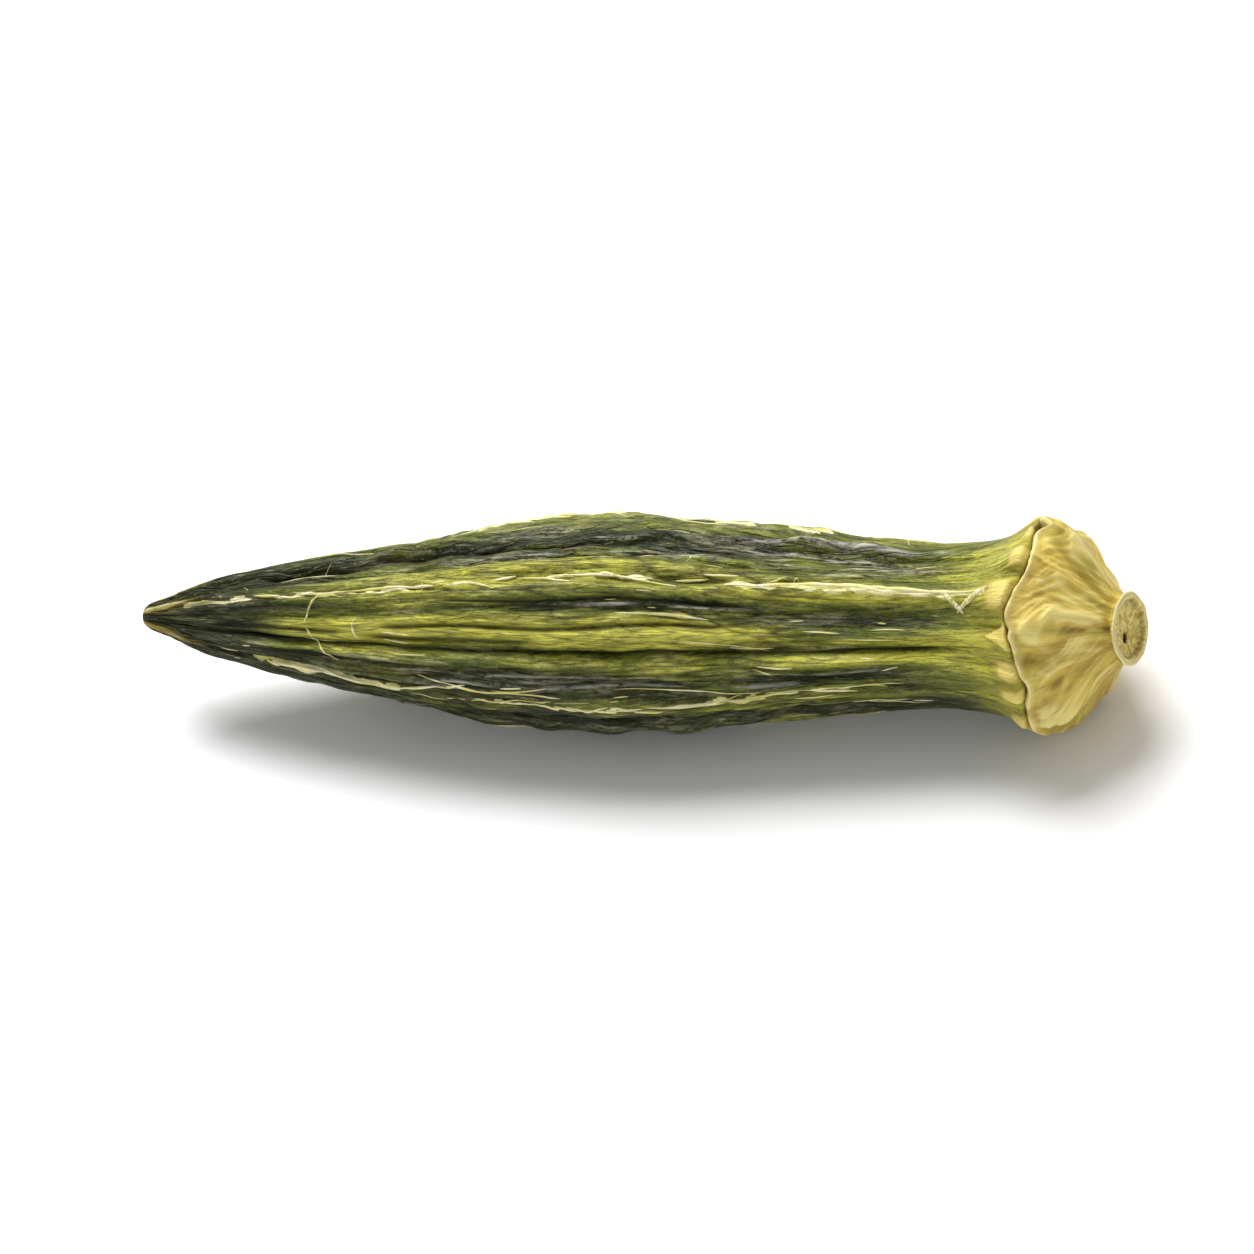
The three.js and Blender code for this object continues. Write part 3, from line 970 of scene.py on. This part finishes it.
@dataclass
class PodFibres:
    """The pale fibres that stand out of the dried skin."""

    skin: PodSkin
    rings: int = 36
    sides: int = 6
    flecks: int = 70
    strands: int = 60
    hooks: int = 14
    seed: int = 77
    seen: tuple[Fibre, ...] = entries(
        Fibre, (47.5, 111.5, 21.5, -1.0, 3.0, 0.2, 0.17), (64.2, 111.0, 2.7, 30.0, 24.0, 0.2, 0.16),
        (65.5, 126.5, 3.4, -46.0, 32.0, 0.25, 0.18), (40.0, 127.5, 7.5, 1.5, 3.0, 0.12, 0.12),
        (15.2, 141.0, 3.7, -100.0, 92.0, 0.11, 0.11), (15.1, 136.0, 4.0, 60.0, -36.0, 0.1, 0.11),
        (19.6, 129.5, 1.9, 130.0, -95.0, 0.11, 0.11), (54.0, 138.5, 3.0, 5.0, 0.0, 0.06, 0.06),
        (59.0, 138.0, 2.8, -6.0, 8.0, 0.06, 0.06), (50.6, 160.0, 2.8, 3.0, -6.0, 0.1, 0.07),
        (24.0, 170.0, 9.0, 14.0, -22.0, 0.07, 0.08), (28.0, 177.0, 8.0, -10.0, 18.0, 0.07, 0.08),
    )

    def fibres(self) -> tuple[Fibre, ...]:
        """All the fibres: those on the side that faces the camera, beads along the five ridges, and a
        seeded draw of short flecks, longer strands and small hooks over the whole pod."""
        draw = np.random.default_rng(self.seed)
        shape = self.skin.shape
        found = list(self.seen)
        for order, ridge in enumerate(shape.ridges):
            at = draw.uniform(6.0, 12.0)
            while at < 58.0:
                length = draw.gamma(2.4, 1.3) + 0.6
                angle = shape.middle_of(ridge, order, at) + draw.normal(0.0, 1.0)
                heading, sweep = draw.normal(0.0, 4.0), draw.normal(0.0, 9.0)
                width = draw.uniform(0.06, 0.14)
                found.append(Fibre(at, angle, length, heading, sweep, width, 0.6 * width + 0.03))
                at += 0.8 * length + draw.gamma(1.0, 0.7)
        for count, spread, longest, turn in (
            (self.flecks, 4.0, 0.7, 8.0), (self.strands, 2.5, 3.2, 6.0), (self.hooks, 50.0, 1.0, 150.0)
        ):
            for _ in range(count):
                length = draw.gamma(2.0, longest / 2.0) + 0.4
                place, angle = draw.uniform(6.0, 66.0 - length), draw.uniform(0.0, 360.0)
                heading, sweep = draw.normal(0.0, spread), draw.normal(0.0, turn)
                width = draw.uniform(0.03, 0.07)
                found.append(Fibre(place, angle, length, heading, sweep, width, 0.6 * width + 0.02))
        return tuple(found)

    def build(self) -> bpy.types.Object:
        """Lays each fibre on the finished skin as a tube, wide and low, that narrows to its ends. Its
        line turns evenly by its sweep and strays with the lines of the skin. A short fibre bridges
        the fine ribs under it, by the mean of five points of its line, and a long one follows them.

        Returns:
            The piece.
        """
        fibres = self.fibres()
        table = np.array([astuple(fibre) for fibre in fibres])
        start, angle, length, heading, sweep, width, height = table.T[..., None]
        t = np.linspace(0.0, 1.0, self.rings)[None, :]
        course = np.radians(heading + sweep * t)
        step = length / (self.rings - 1)
        gone = np.cumsum(step * np.stack([np.cos(course), np.sin(course)]), axis=-1)
        gone = gone - gone[..., :1]
        at = start + gone[0]
        shape, skin = self.skin.shape, self.skin
        r = np.interp(at, [s.at for s in shape.body_outline()], [s.r for s in shape.body_outline()])
        line = angle + np.degrees(gone[1] / np.maximum(r, 1.0))
        line = line - skin.stray(at, line) + skin.stray(start + 0.0 * at, line)
        centre = skin.on_surface(at, line)
        padded = np.pad(centre, ((0, 0), (2, 2), (0, 0)), mode="edge")
        even = sum(padded[:, n:n + self.rings] for n in range(5)) / 5.0
        centre = centre + np.minimum(1.0, 4.0 / length)[..., None] * (even - centre)
        axis = skin.set_down(shape.centre_line(at))
        outwards = centre - axis
        outwards /= np.linalg.norm(outwards, axis=-1, keepdims=True)
        along = np.gradient(centre, axis=1)
        along /= np.linalg.norm(along, axis=-1, keepdims=True) + 1e-12
        across = np.cross(outwards, along)
        uneven = Grain(self.seed)(t * length / 0.8, 3.7 * np.arange(len(fibres))[:, None], 0.5)
        uneven = 1.0 + 0.9 * np.clip(length / 9.0, 0.3, 1.0) * uneven
        taper = np.clip(4.0 * t * (1.0 - t), 0.0, 1.0) ** 0.75 * uneven
        turn = 2.0 * np.pi * np.arange(self.sides) / self.sides
        wide = (width * taper * MILLIMETRE)[..., None] * np.cos(turn)
        high = (height * taper * MILLIMETRE)[..., None] * np.sin(turn)
        points = centre[:, :, None] + wide[..., None] * across[:, :, None]
        points = points + high[..., None] * outwards[:, :, None]
        points[..., 2] = np.maximum(points[..., 2], 0.0)
        values = {
            "tone": 0.5,
            "height": 0.2,
            "pale": (0.2 + 0.8 * smooth(0.0, 0.35, 4.0 * t * (1.0 - t)))[..., None],
            "grain": grain_of(shape.belly, np.radians(line), at)[:, :, None],
        }
        return MeshMaker.closed_grids("pod_fibres", points, values)


@dataclass(frozen=True)
class Notch:
    """A place where the edge of the cap is nicked, with its half-width in degrees and its depth."""

    angle: float
    width: float
    depth: float


@dataclass
class PodCap:
    """The woody cap with its raised edge and the cut stalk."""

    shape: PodShape
    set_down: SetDown
    rows: int = 200
    columns: int = 480
    seed: int = 41
    petal: float = 0.42
    crest: float = 0.3
    fold: float = 0.2
    rib: float = 0.11
    striae: float = 0.025
    lip: float = 0.14
    edge_rough: float = 0.3
    stalk_rough: float = 0.22
    face_rough: float = 0.05
    groove_angle: float = 138.0
    groove_depth: float = 0.2
    steepness: float = 3.2
    notches: tuple[Notch, ...] = entries(
        Notch, (66, 4.5, 1.0), (137, 3.0, 0.25), (208, 4.0, 0.6), (281, 4.0, 0.5), (352, 5.0, 0.8),
        (20, 3.0, 0.4),
    )

    def outline(self) -> tuple[Station, ...]:
        """The cap's outline, closed by a floor inside the pod."""
        start, foot = self.shape.cap_start, self.shape.shoulder
        return (
            Station(start + 0.35, 0),
            Station(start + 0.35, foot - 3.5, edge=1),
            Station(start + 0.35, foot - 1.6, corner=0.06, edge=1),
            Station(start + 0.2, foot - 0.6, corner=0.07, edge=1),
        ) + self.shape.cap_outline()

    def random(self, order: int, reach: float, turn: Array, along: Array | float) -> Array:
        """A random field of its own for each order, on a circle."""
        return ring_field(self.seed + order, reach, turn, along)

    def lip_shift(self, angle: Array) -> Array:
        """How far the edge of the cap lies back towards the stalk: two random fields round it, and its
        notches as bell curves of the angle."""
        turn = np.radians(angle)
        shift = 0.35 * self.random(5, 3.0, turn, 0.0) + 0.2 * self.random(6, 9.0, turn, 0.0)
        for notch in self.notches:
            shift += notch.depth * bell(turn_between(angle, notch.angle), notch.width)
        return shift

    def relief(self, outline: dict[str, Array], along: Array, angle: Array) -> tuple[Array, Array]:
        """The cone's folds. Petals are the size of a random field that narrows to the stalk, so that
        they meet in creases; folds, striae and ribs are sharp crests, and the ribs wind round the cone;
        the five corners have a crest each, and a groove runs into the stalk.

        Args:
            outline: the outline's values.
            along: 0 at the edge of the cap to 1 at the end of the stalk.
            angle: angles round the cap, in degrees.

        Returns:
            The relief in millimetres, and its height as about -1 to 1.
        """
        at = outline["at"]
        turn = np.radians(angle)
        bent = turn + 0.2 * self.random(0, 2.2, turn, at / 2.2)
        petal = 2.6 * np.abs(self.random(1, 2.1, bent, at / 6.0)) - 0.5
        fold = crested(self.random(2, 4.0, bent, at / 2.4), self.steepness)
        striae = crested(self.random(3, 13.0, bent, at / 4.0), self.steepness)
        rib = crested(self.random(4, 7.5, bent + 0.16 * at, at / 2.2), self.steepness)
        crest = blank(at, angle)
        for corner in self.shape.corners[:5]:
            middle = corner.angle + 5.0 * np.sin(9.0 * along + corner.angle)
            crest = np.maximum(crest, bell(turn_between(angle, middle), 6.0))
        cone = within(0.03, 0.25, 0.78, 0.95, along)
        off = np.radians(turn_between(angle, self.groove_angle)) * outline["r"]
        groove = bell(off, 0.32) * within(0.45, 0.7, 0.9, 0.96, along)
        rim = within(0.0, 0.06, 0.9, 1.0, along)
        relief = cone * (self.petal * petal + self.crest * crest + self.fold * fold + self.rib * rib)
        relief = (relief + rim * self.striae * striae) * outline["r"] / 7.0
        relief = relief - self.groove_depth * groove
        return relief, cone * (0.45 * petal + 0.5 * crest + 0.4 * fold + 0.3 * rib) - 0.6 * groove

    def build(self) -> bpy.types.Object:
        """Makes the cap and keeps on it what its finish reads: height, edge, face, ring (the pale one
        round the face), hole and under (the pith hole and the hidden inside, both painted dark as shade)
        and grain.

        Returns:
            The piece.
        """
        stations = self.outline()
        crowd = np.ones(len(stations))
        crowd[:2] = 0.2
        crowd[3:6] = 1.6
        place = MeshMaker.even_rows(stations, self.rows, crowd)
        outline, angle = self.shape.outline_rows(stations, place), angles_round(self.columns)
        at = outline["at"]
        start, end = self.shape.cap_start, self.shape.length
        along = np.clip((at - start) / (end - start), 0.0, 1.0)
        steps, last = place[:, None], len(stations) - 1
        outer = smooth(2.8, 4.0, steps)
        face = smooth(last - 6.6, last - 5.6, steps)
        relief, height = self.relief(outline, along, angle)
        r, turn = outline["r"], np.radians(angle)
        rough = self.edge_rough * outer * self.random(7, 4.5, turn, at / 1.2)
        relief = relief + rough * outline["edge"] * r / 7.0
        relief = relief + self.lip * bell(steps - 5.0, 0.45)
        rough = self.stalk_rough * self.random(8, 2.6, turn, at / 2.0)
        relief = relief + rough * smooth(0.8, 0.95, along) * np.clip(r / 2.5, 0.0, 1.0)
        rough = self.face_rough * face * self.random(9, 11.0, turn, r / 0.9)
        shift = outer * outline["edge"] * self.lip_shift(angle) + rough
        points = self.set_down(self.shape.surface(outline, angle, relief, shift))
        # pith adds a faint dark ring, on the face inside the raised lip, to the hole's painted shade
        pith = 0.35 * bell(steps - last + 4.3, 0.4)
        values = {
            "height": height,
            "edge": bell(steps - 4.8, 0.6),
            "face": face,
            "ring": bell(steps - last + 6.5, 1.0),
            # hole and under carry painted shade
            "hole": np.maximum(smooth(last - 2.1, last - 1.6, steps), pith),
            "under": 1.0 - smooth(3.0, 4.2, steps),
            "grain": grain_of(7.0 * (1.0 - face) + 1.6 * r * face, turn, at),
        }
        return MeshMaker.closed_grid("pod_cap", points, values)


def linear(colour: Colour) -> tuple[float, ...]:
    """A screen colour as the linear colour, with its opacity, that a shader takes."""
    parts = (c / 255.0 for c in colour)
    return (*(c / 12.92 if c <= 0.04045 else ((c + 0.055) / 1.055) ** 2.4 for c in parts), 1.0)


class Finish:
    """A procedural material under construction: short calls that add and link its nodes. Where a call
    takes an object, that is the output of another node or a plain value."""

    def __init__(self, name: str) -> None:
        """Starts a material with one Principled shader."""
        self.material = bpy.data.materials.new(name)
        self.material.use_nodes = True
        self.tree = self.material.node_tree
        self.shader = self.tree.nodes["Principled BSDF"]

    def node(self, kind: str, **settings: object) -> bpy.types.Node:
        """Adds a node and sets its properties."""
        node = self.tree.nodes.new(kind)
        for key, value in settings.items():
            setattr(node, key, value)
        return node

    def feed(self, socket: Socket, value: object) -> None:
        """Links an output to a socket, or sets the socket to a number, a vector or a screen colour."""
        if isinstance(value, bpy.types.NodeSocket):
            self.tree.links.new(value, socket)
        else:
            socket.default_value = linear(value) if socket.type == "RGBA" else value

    def attribute(self, name: str, output: str = "Fac") -> Socket:
        """What the mesh keeps under a name."""
        return self.node("ShaderNodeAttribute", attribute_name=name).outputs[output]

    def maths(self, operation: str, a: object, b: object = 0.0) -> Socket:
        """One sum on two values."""
        node = self.node("ShaderNodeMath", operation=operation)
        self.feed(node.inputs[0], a)
        self.feed(node.inputs[1], b)
        return node.outputs[0]

    def plus(self, *values: object) -> Socket:
        """The sum of values."""
        return reduce(lambda total, value: self.maths("ADD", total, value), values)

    def less(self, a: object, b: object) -> Socket:
        """The first value less the second."""
        return self.maths("SUBTRACT", a, b)

    def times(self, a: object, b: object) -> Socket:
        """The product of two values."""
        return self.maths("MULTIPLY", a, b)

    def about(self, noise: Socket, share: float) -> Socket:
        """How far a noise lies from its middle, times a share."""
        return self.times(self.less(noise, NOISE_MIDDLE), share)

    def ramp(self, value: object, low: float, high: float) -> Socket:
        """Goes smoothly from 0 at low to 1 at high."""
        node = self.node("ShaderNodeMapRange", interpolation_type="SMOOTHSTEP")
        self.feed(node.inputs["Value"], value)
        self.feed(node.inputs["From Min"], low)
        self.feed(node.inputs["From Max"], high)
        return node.outputs["Result"]

    def mix(self, share: object, first: object, second: object) -> Socket:
        """A blend of two colours, with so much of the second."""
        node = self.node("ShaderNodeMix", data_type="RGBA")
        for index, value in ((0, share), (6, first), (7, second)):
            self.feed(node.inputs[index], value)
        return node.outputs[2]

    def coats(self, colour: object, *coats: tuple[object, float, object]) -> Socket:
        """Lays coats over a colour in turn.

        Args:
            colour: what lies under them.
            coats: for each how far it shows, 0 to 1, how much of it shows there, and its colour.

        Returns:
            The colour.
        """
        for shown, most, coat in coats:
            colour = self.mix(self.times(shown, most), colour, coat)
        return colour

    def stretched(self, place: Socket, along: float, across: float = 1.0) -> Socket:
        """Coordinates scaled along the pod and across it."""
        node = self.node("ShaderNodeMapping")
        self.feed(node.inputs["Vector"], place)
        self.feed(node.inputs["Scale"], (across, across, along))
        return node.outputs[0]

    def cloudy(self, place: Socket, scale: float, detail: float, warp: float = 0.0) -> bpy.types.Node:
        """A node of cloudy noise."""
        node = self.node("ShaderNodeTexNoise")
        self.feed(node.inputs["Vector"], place)
        for name, value in (("Scale", scale), ("Detail", detail), ("Distortion", warp)):
            self.feed(node.inputs[name], value)
        return node

    def noise(
        self, place: Socket, scale: float, detail: float, warp: float = 0.0, along: float = 1.0
    ) -> Socket:
        """Cloudy noise from 0 to 1, drawn out along the pod where along is under 1."""
        place = place if along == 1.0 else self.stretched(place, along)
        return self.cloudy(place, scale, detail, warp).outputs["Fac"]

    def warped(self, place: Socket, scale: float, reach: float) -> Socket:
        """Coordinates that noise pushes about, by up to reach."""
        push = self.node("ShaderNodeVectorMath", operation="MULTIPLY_ADD")
        self.feed(push.inputs[0], self.cloudy(place, scale, 1.0).outputs["Color"])
        self.feed(push.inputs[1], (reach, reach, reach))
        self.feed(push.inputs[2], place)
        return push.outputs[0]

    def hairs(self, place: Socket, scale: float, width: float) -> Socket:
        """Thin wavy lines, 1 on them: where cloudy noise crosses its middle."""
        off = self.maths("ABSOLUTE", self.less(self.noise(place, scale, 1.0), NOISE_MIDDLE))
        return self.less(1.0, self.ramp(off, 0.0, width))

    def cells(self, place: Socket, scale: float) -> Socket:
        """How far a point lies from the borders of random cells."""
        node = self.node("ShaderNodeTexVoronoi", feature="DISTANCE_TO_EDGE")
        self.feed(node.inputs["Vector"], place)
        self.feed(node.inputs["Scale"], scale)
        return node.outputs["Distance"]

    def bump(
        self, height: Socket, depth: float, under: Socket | None = None, strength: object = 1.0
    ) -> Socket:
        """Fine relief on the shading, over the relief under it; depth is in millimetres."""
        node = self.node("ShaderNodeBump")
        self.feed(node.inputs["Strength"], strength)
        self.feed(node.inputs["Distance"], depth * MILLIMETRE)
        self.feed(node.inputs["Height"], height)
        if under is not None:
            self.feed(node.inputs["Normal"], under)
        return node.outputs[0]

    def done(self, colour: object, rough: object, normal: Socket, specular: float) -> bpy.types.Material:
        """Feeds the shader and returns the material."""
        named = {"Base Color": colour, "Roughness": rough, "Normal": normal, "Specular IOR Level": specular}
        for name, value in named.items():
            self.feed(self.shader.inputs[name], value)
        return self.material


@dataclass(frozen=True)
class SkinFinish:
    """The dried skin: grey-green with painted shade in the hollows, olive and yellow on the bands,
    cream on the fibres, and a painted sheen on the crests.
    """

    dark: Colour = (46, 52, 8)
    green: Colour = (116, 124, 40)
    olive: Colour = (216, 212, 78)
    # painted_sheen and painted_glint are greyish whites that paint a sheen and a glint on dark crests
    painted_sheen: Colour = (182, 179, 144)
    painted_glint: Colour = (208, 205, 190)
    straw: Colour = (216, 208, 122)
    cream: Colour = (244, 236, 190)
    ripe: Colour = (232, 212, 118)
    tan: Colour = (180, 158, 70)
    # furrow: the near black of painted shade in the creases, the hollows and the furrows
    furrow: Colour = (20, 20, 6)
    specular: float = 0.24

    def material(self) -> bpy.types.Material:
        """Builds the material. The skin's tone, lighter on crests and darker in hollows as painted light
        and shade, picks dark, green or olive, and over it lie, in turn, the streaks of ribs and cords,
        the crest lines and pale hairs, pale partly as a painted sheen and glint, then dark hairs, the
        hollows, the small cells' borders and the furrows, all darkened as painted shade, the ripe yellow
        and the pale fibres.

        Returns:
            The material.
        """
        f = Finish("dried_skin")
        grain = f.attribute("grain", "Vector")
        height, lines = f.attribute("height"), f.attribute("lines")
        fine = f.noise(grain, 2.6, 3.0, 0.4, 0.12)
        threads = f.noise(grain, 6.0, 2.0, 0.4, 0.1)
        bent = f.warped(f.stretched(grain, 0.1), 0.9, 0.5)
        weave = f.cells(f.stretched(bent, 1.4), 1.8)
        # thin dark lines, sunk by the bump, that paint shade into fine creases
        hairline_shade = f.hairs(bent, 2.2, 0.06)
        pale_hairs = f.hairs(f.stretched(bent, 0.9, 1.3), 2.0, 0.045)
        specks = f.noise(grain, 3.5, 3.0, 0.5, 0.5)
        clouds = f.noise(grain, 0.5, 3.0, 0.4, 0.3)
        dashes = f.noise(grain, 4.2, 2.0, 0.3, 0.3)
        grit = f.noise(grain, 7.0, 2.0, 0.0, 0.6)
        uneven = (f.about(fine, 0.45), f.about(dashes, 0.35), f.about(clouds, 0.4), f.about(grit, 0.35))
        # the height makes crests lighter and hollows darker: painted light and shade
        tone = f.plus(f.attribute("tone"), *uneven, f.times(height, 0.3))
        # the pale of the streaks and hairs: a painted sheen on dark skin, straw on lighter skin
        crest = f.mix(f.ramp(tone, 0.1, 0.5), self.painted_sheen, self.straw)
        # the crest lines' pale: a painted glint on dark skin, cream on lighter skin
        glinting_crest = f.mix(f.ramp(tone, 0.15, 0.6), self.painted_glint, self.cream)
        streaks = f.plus(f.times(lines, 0.9), f.times(f.ramp(threads, 0.62, 0.75), 0.2))
        streaks = f.times(streaks, f.ramp(dashes, 0.3, 0.55))
        shown = f.times(pale_hairs, f.ramp(specks, 0.42, 0.6))
        # dark along the sunk borders of small cells: painted shade
        dent_shade = f.times(f.less(1.0, f.ramp(weave, 0.0, 0.16)), f.ramp(clouds, 0.3, 0.6))
        ripe = f.plus(f.attribute("ripe"), f.about(specks, 0.4))
        pale = f.plus(f.attribute("pale"), f.about(specks, 0.6))
        colour = f.coats(
            f.mix(f.ramp(tone, 0.0, 0.42), self.dark, self.green),
            (f.ramp(tone, 0.4, 0.95), 1.0, self.olive),
            # over dark skin these three coats paint a sheen and a glint on the crests
            (streaks, 1.0, crest),
            (f.times(f.attribute("crest"), f.ramp(dashes, 0.25, 0.5)), 0.85, glinting_crest),
            (shown, 0.5, crest),
            # painted shade: dark in the fine creases, the hollows, the cells' borders and the furrows
            (hairline_shade, 0.4, self.furrow),
            (f.ramp(f.times(height, -1.0), 0.0, 0.6), 0.6, self.furrow),
            (dent_shade, 0.35, self.furrow),
            (f.attribute("furrow"), 0.8, self.furrow),
            (f.ramp(ripe, 0.05, 0.85), 0.92, f.mix(f.ramp(ripe, 0.45, 1.0), self.tan, self.ripe)),
            (f.ramp(pale, 0.35, 0.65), 1.0, f.mix(f.ramp(fine, 0.38, 0.62), self.straw, self.cream)),
        )
        relief = f.plus(*(
            f.times(part, share) for part, share in (
                (threads, 0.14), (fine, 0.2), (f.ramp(weave, 0.0, 0.3), 0.09), (dashes, 0.13),
                (hairline_shade, -0.06), (shown, 0.05), (grit, 0.07),
            )
        ))
        normal = f.bump(relief, 1.0, strength=f.less(1.0, f.times(f.attribute("ripe"), 0.5)))
        rough = f.plus(f.times(specks, 0.3), 0.32, f.times(streaks, -0.12))
        return f.done(colour, rough, normal, self.specular)


@dataclass(frozen=True)
class CapFinish:
    """The woody cap: cream, tan in its folds as painted shade, palest on its edge, partly as painted
    highlight, and round the stalk's cut face.
    """

    cream: Colour = (212, 186, 84)
    honey: Colour = (176, 148, 52)
    # tan is painted shade in the folds' hollows, and also the colour of the brown streaks
    tan: Colour = (124, 94, 26)
    # pale is a painted highlight on the folds' crests, and also the colour of the pale streaks
    pale: Colour = (240, 224, 138)
    # rim is the pale edge, partly a painted highlight, and the pale ring round the cut face
    rim: Colour = (246, 232, 164)
    olive: Colour = (150, 146, 54)
    wood: Colour = (220, 204, 122)
    # dark is painted shade in the pith hole and in the hidden inside under the edge
    dark: Colour = (52, 38, 14)
    specular: float = 0.35

    def material(self) -> bpy.types.Material:
        """Builds the material. Honey and cream clouds lie under green ones, pale and dark streaks, the
        pale crests and tan hollows of the folds as painted highlight and painted shade, the edge, pale
        partly as a painted highlight, and the cut face with its ring and hole; the hole and the hidden
        inside are painted dark as shade.

        Returns:
            The material.
        """
        f = Finish("woody_cap")
        grain = f.attribute("grain", "Vector")
        height = f.attribute("height")
        lines = f.noise(grain, 2.2, 3.0, 0.3, 0.15)
        clouds = f.noise(grain, 0.45, 3.0, 0.4)
        colour = f.coats(
            f.mix(f.ramp(clouds, 0.38, 0.62), self.honey, self.cream),
            (f.ramp(f.noise(grain, 0.3, 2.0, 0.5), 0.52, 0.68), 0.45, self.olive),
            (f.ramp(lines, 0.55, 0.75), 0.25, self.pale),
            # painted highlight on the folds' crests, painted shade in their hollows
            (f.ramp(height, 0.25, 0.85), 0.75, self.pale),
            (f.ramp(f.times(height, -1.0), -0.1, 0.5), 0.88, self.tan),
            (f.ramp(f.less(1.0, lines), 0.5, 0.75), 0.4, self.tan),
            # the edge's pale: partly its own colour, partly a painted highlight
            (f.times(f.attribute("edge"), f.ramp(clouds, 0.3, 0.58)), 0.85, self.rim),
            (f.attribute("face"), 1.0, f.mix(f.ramp(lines, 0.35, 0.65), self.honey, self.wood)),
            (f.attribute("ring"), 1.0, self.rim),
            # the pith hole and the hidden inside under the edge are painted dark as shade
            (f.attribute("hole"), 1.0, self.dark),
            (f.attribute("under"), 1.0, self.dark),
        )
        normal = f.bump(f.noise(grain, 9.0, 2.0), 0.03, f.bump(lines, 0.12))
        return f.done(colour, f.plus(f.times(clouds, 0.25), 0.36), normal, self.specular)


@dataclass(frozen=True)
class Lamp:
    """A square soft light: its place and its side in metres, and its power in watts."""

    name: str
    place: tuple[float, float, float]
    size: float
    power: float


@dataclass
class Studio:
    """The plain pale floor, the soft lights and the camera, which is turned about its own axis so
    that the pod lies level in the picture. fill is the pod's share of the picture's width."""

    elevation: float = 41.0
    azimuth: float = 26.0
    lens: float = 200.0
    fill: float = 0.8
    floor_half: float = 3.0
    floor_shade: float = 0.9
    floor_rough: float = 0.7
    surround: float = 0.44
    lamps: tuple[Lamp, ...] = entries(
        Lamp, ("key", (-0.17, 0.3, 0.57), 0.42, 5.8), ("fill", (0.4, -0.6, 0.35), 0.5, 0.7)
    )

    def floor(self) -> None:
        """A wide plain floor, no part of the object."""
        mesh = bpy.data.meshes.new("floor")
        half, shade = self.floor_half, self.floor_shade
        corners = [(-half, -half, 0), (half, -half, 0), (half, half, 0), (-half, half, 0)]
        mesh.from_pydata(corners, [], [(0, 1, 2, 3)])
        floor = bpy.data.objects.new("floor", mesh)
        bpy.context.scene.collection.objects.link(floor)
        f = Finish("floor_white")
        f.shader.inputs["Base Color"].default_value = (shade, shade, shade, 1.0)
        f.shader.inputs["Roughness"].default_value = self.floor_rough
        mesh.materials.append(f.material)

    def lights(self) -> None:
        """A key light from above and behind and a weak fill from the front, which face the pod, and an
        even pale surround."""
        for lamp in self.lamps:
            data = bpy.data.lights.new(lamp.name, "AREA")
            data.size = lamp.size
            data.energy = lamp.power
            light = bpy.data.objects.new(lamp.name, data)
            light.location = lamp.place
            light.rotation_mode = "QUATERNION"
            light.rotation_quaternion = (-Vector(lamp.place)).to_track_quat("-Z", "Y")
            bpy.context.scene.collection.objects.link(light)
        world = bpy.data.worlds.new("surround")
        world.use_nodes = True
        world.node_tree.nodes["Background"].inputs["Color"].default_value = (1, 1, 1, 1)
        world.node_tree.nodes["Background"].inputs["Strength"].default_value = self.surround
        bpy.context.scene.world = world
        bpy.context.scene.view_settings.view_transform = "Standard"

    def camera(self) -> None:
        """A camera at the photograph's angle to the pod, as far off as the pod fills its share of the
        picture's width. Seen from there the pod's line slopes by the angle whose tangent is that of
        the azimuth times the sine of the elevation, and the camera is turned by as much."""
        low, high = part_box(NODE)
        centre = (low + high) / 2.0
        a, e = math.radians(self.azimuth), math.radians(self.elevation)
        back = Vector((math.sin(a) * math.cos(e), -math.cos(a) * math.cos(e), math.sin(e)))
        slope = math.atan(math.tan(a) * math.sin(e))
        data = bpy.data.cameras.new("camera")
        data.lens = self.lens
        width = (high.x - low.x) * math.cos(a) / math.cos(slope) / self.fill
        distance = width / 2.0 / (data.sensor_width / 2.0 / self.lens)
        camera = bpy.data.objects.new("camera", data)
        camera.location = centre + back * distance
        camera.rotation_mode = "QUATERNION"
        camera.rotation_quaternion = (-back).to_track_quat("-Z", "Y") @ Quaternion((0, 0, 1), -slope)
        bpy.context.scene.collection.objects.link(camera)
        bpy.context.scene.camera = camera

    def build(self) -> None:
        """Sets the studio up."""
        self.floor()
        self.lights()
        self.camera()


def keep(piece: bpy.types.Object, material: bpy.types.Material) -> None:
    """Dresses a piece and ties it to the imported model.

    Args:
        piece: the finished piece.
        material: its finish.
    """
    piece.data.materials.append(material)
    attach(piece, BODY)
    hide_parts(NODE)
    triangles = sum(len(p.vertices) - 2 for p in piece.data.polygons)
    log.info("%s: %d triangles", piece.name, triangles)


def main() -> None:
    """Builds the pod and the studio."""
    logging.basicConfig(level=logging.INFO, format="%(name)s: %(message)s")
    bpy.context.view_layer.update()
    shape = PodShape()
    set_down = SetDown(shape)
    skin = PodSkin(shape, set_down)
    dried = SkinFinish().material()
    keep(skin.build(), dried)
    keep(PodFibres(skin).build(), dried)
    keep(PodCap(shape, set_down).build(), CapFinish().material())
    Studio().build()


if __name__ == "__main__":
    main()
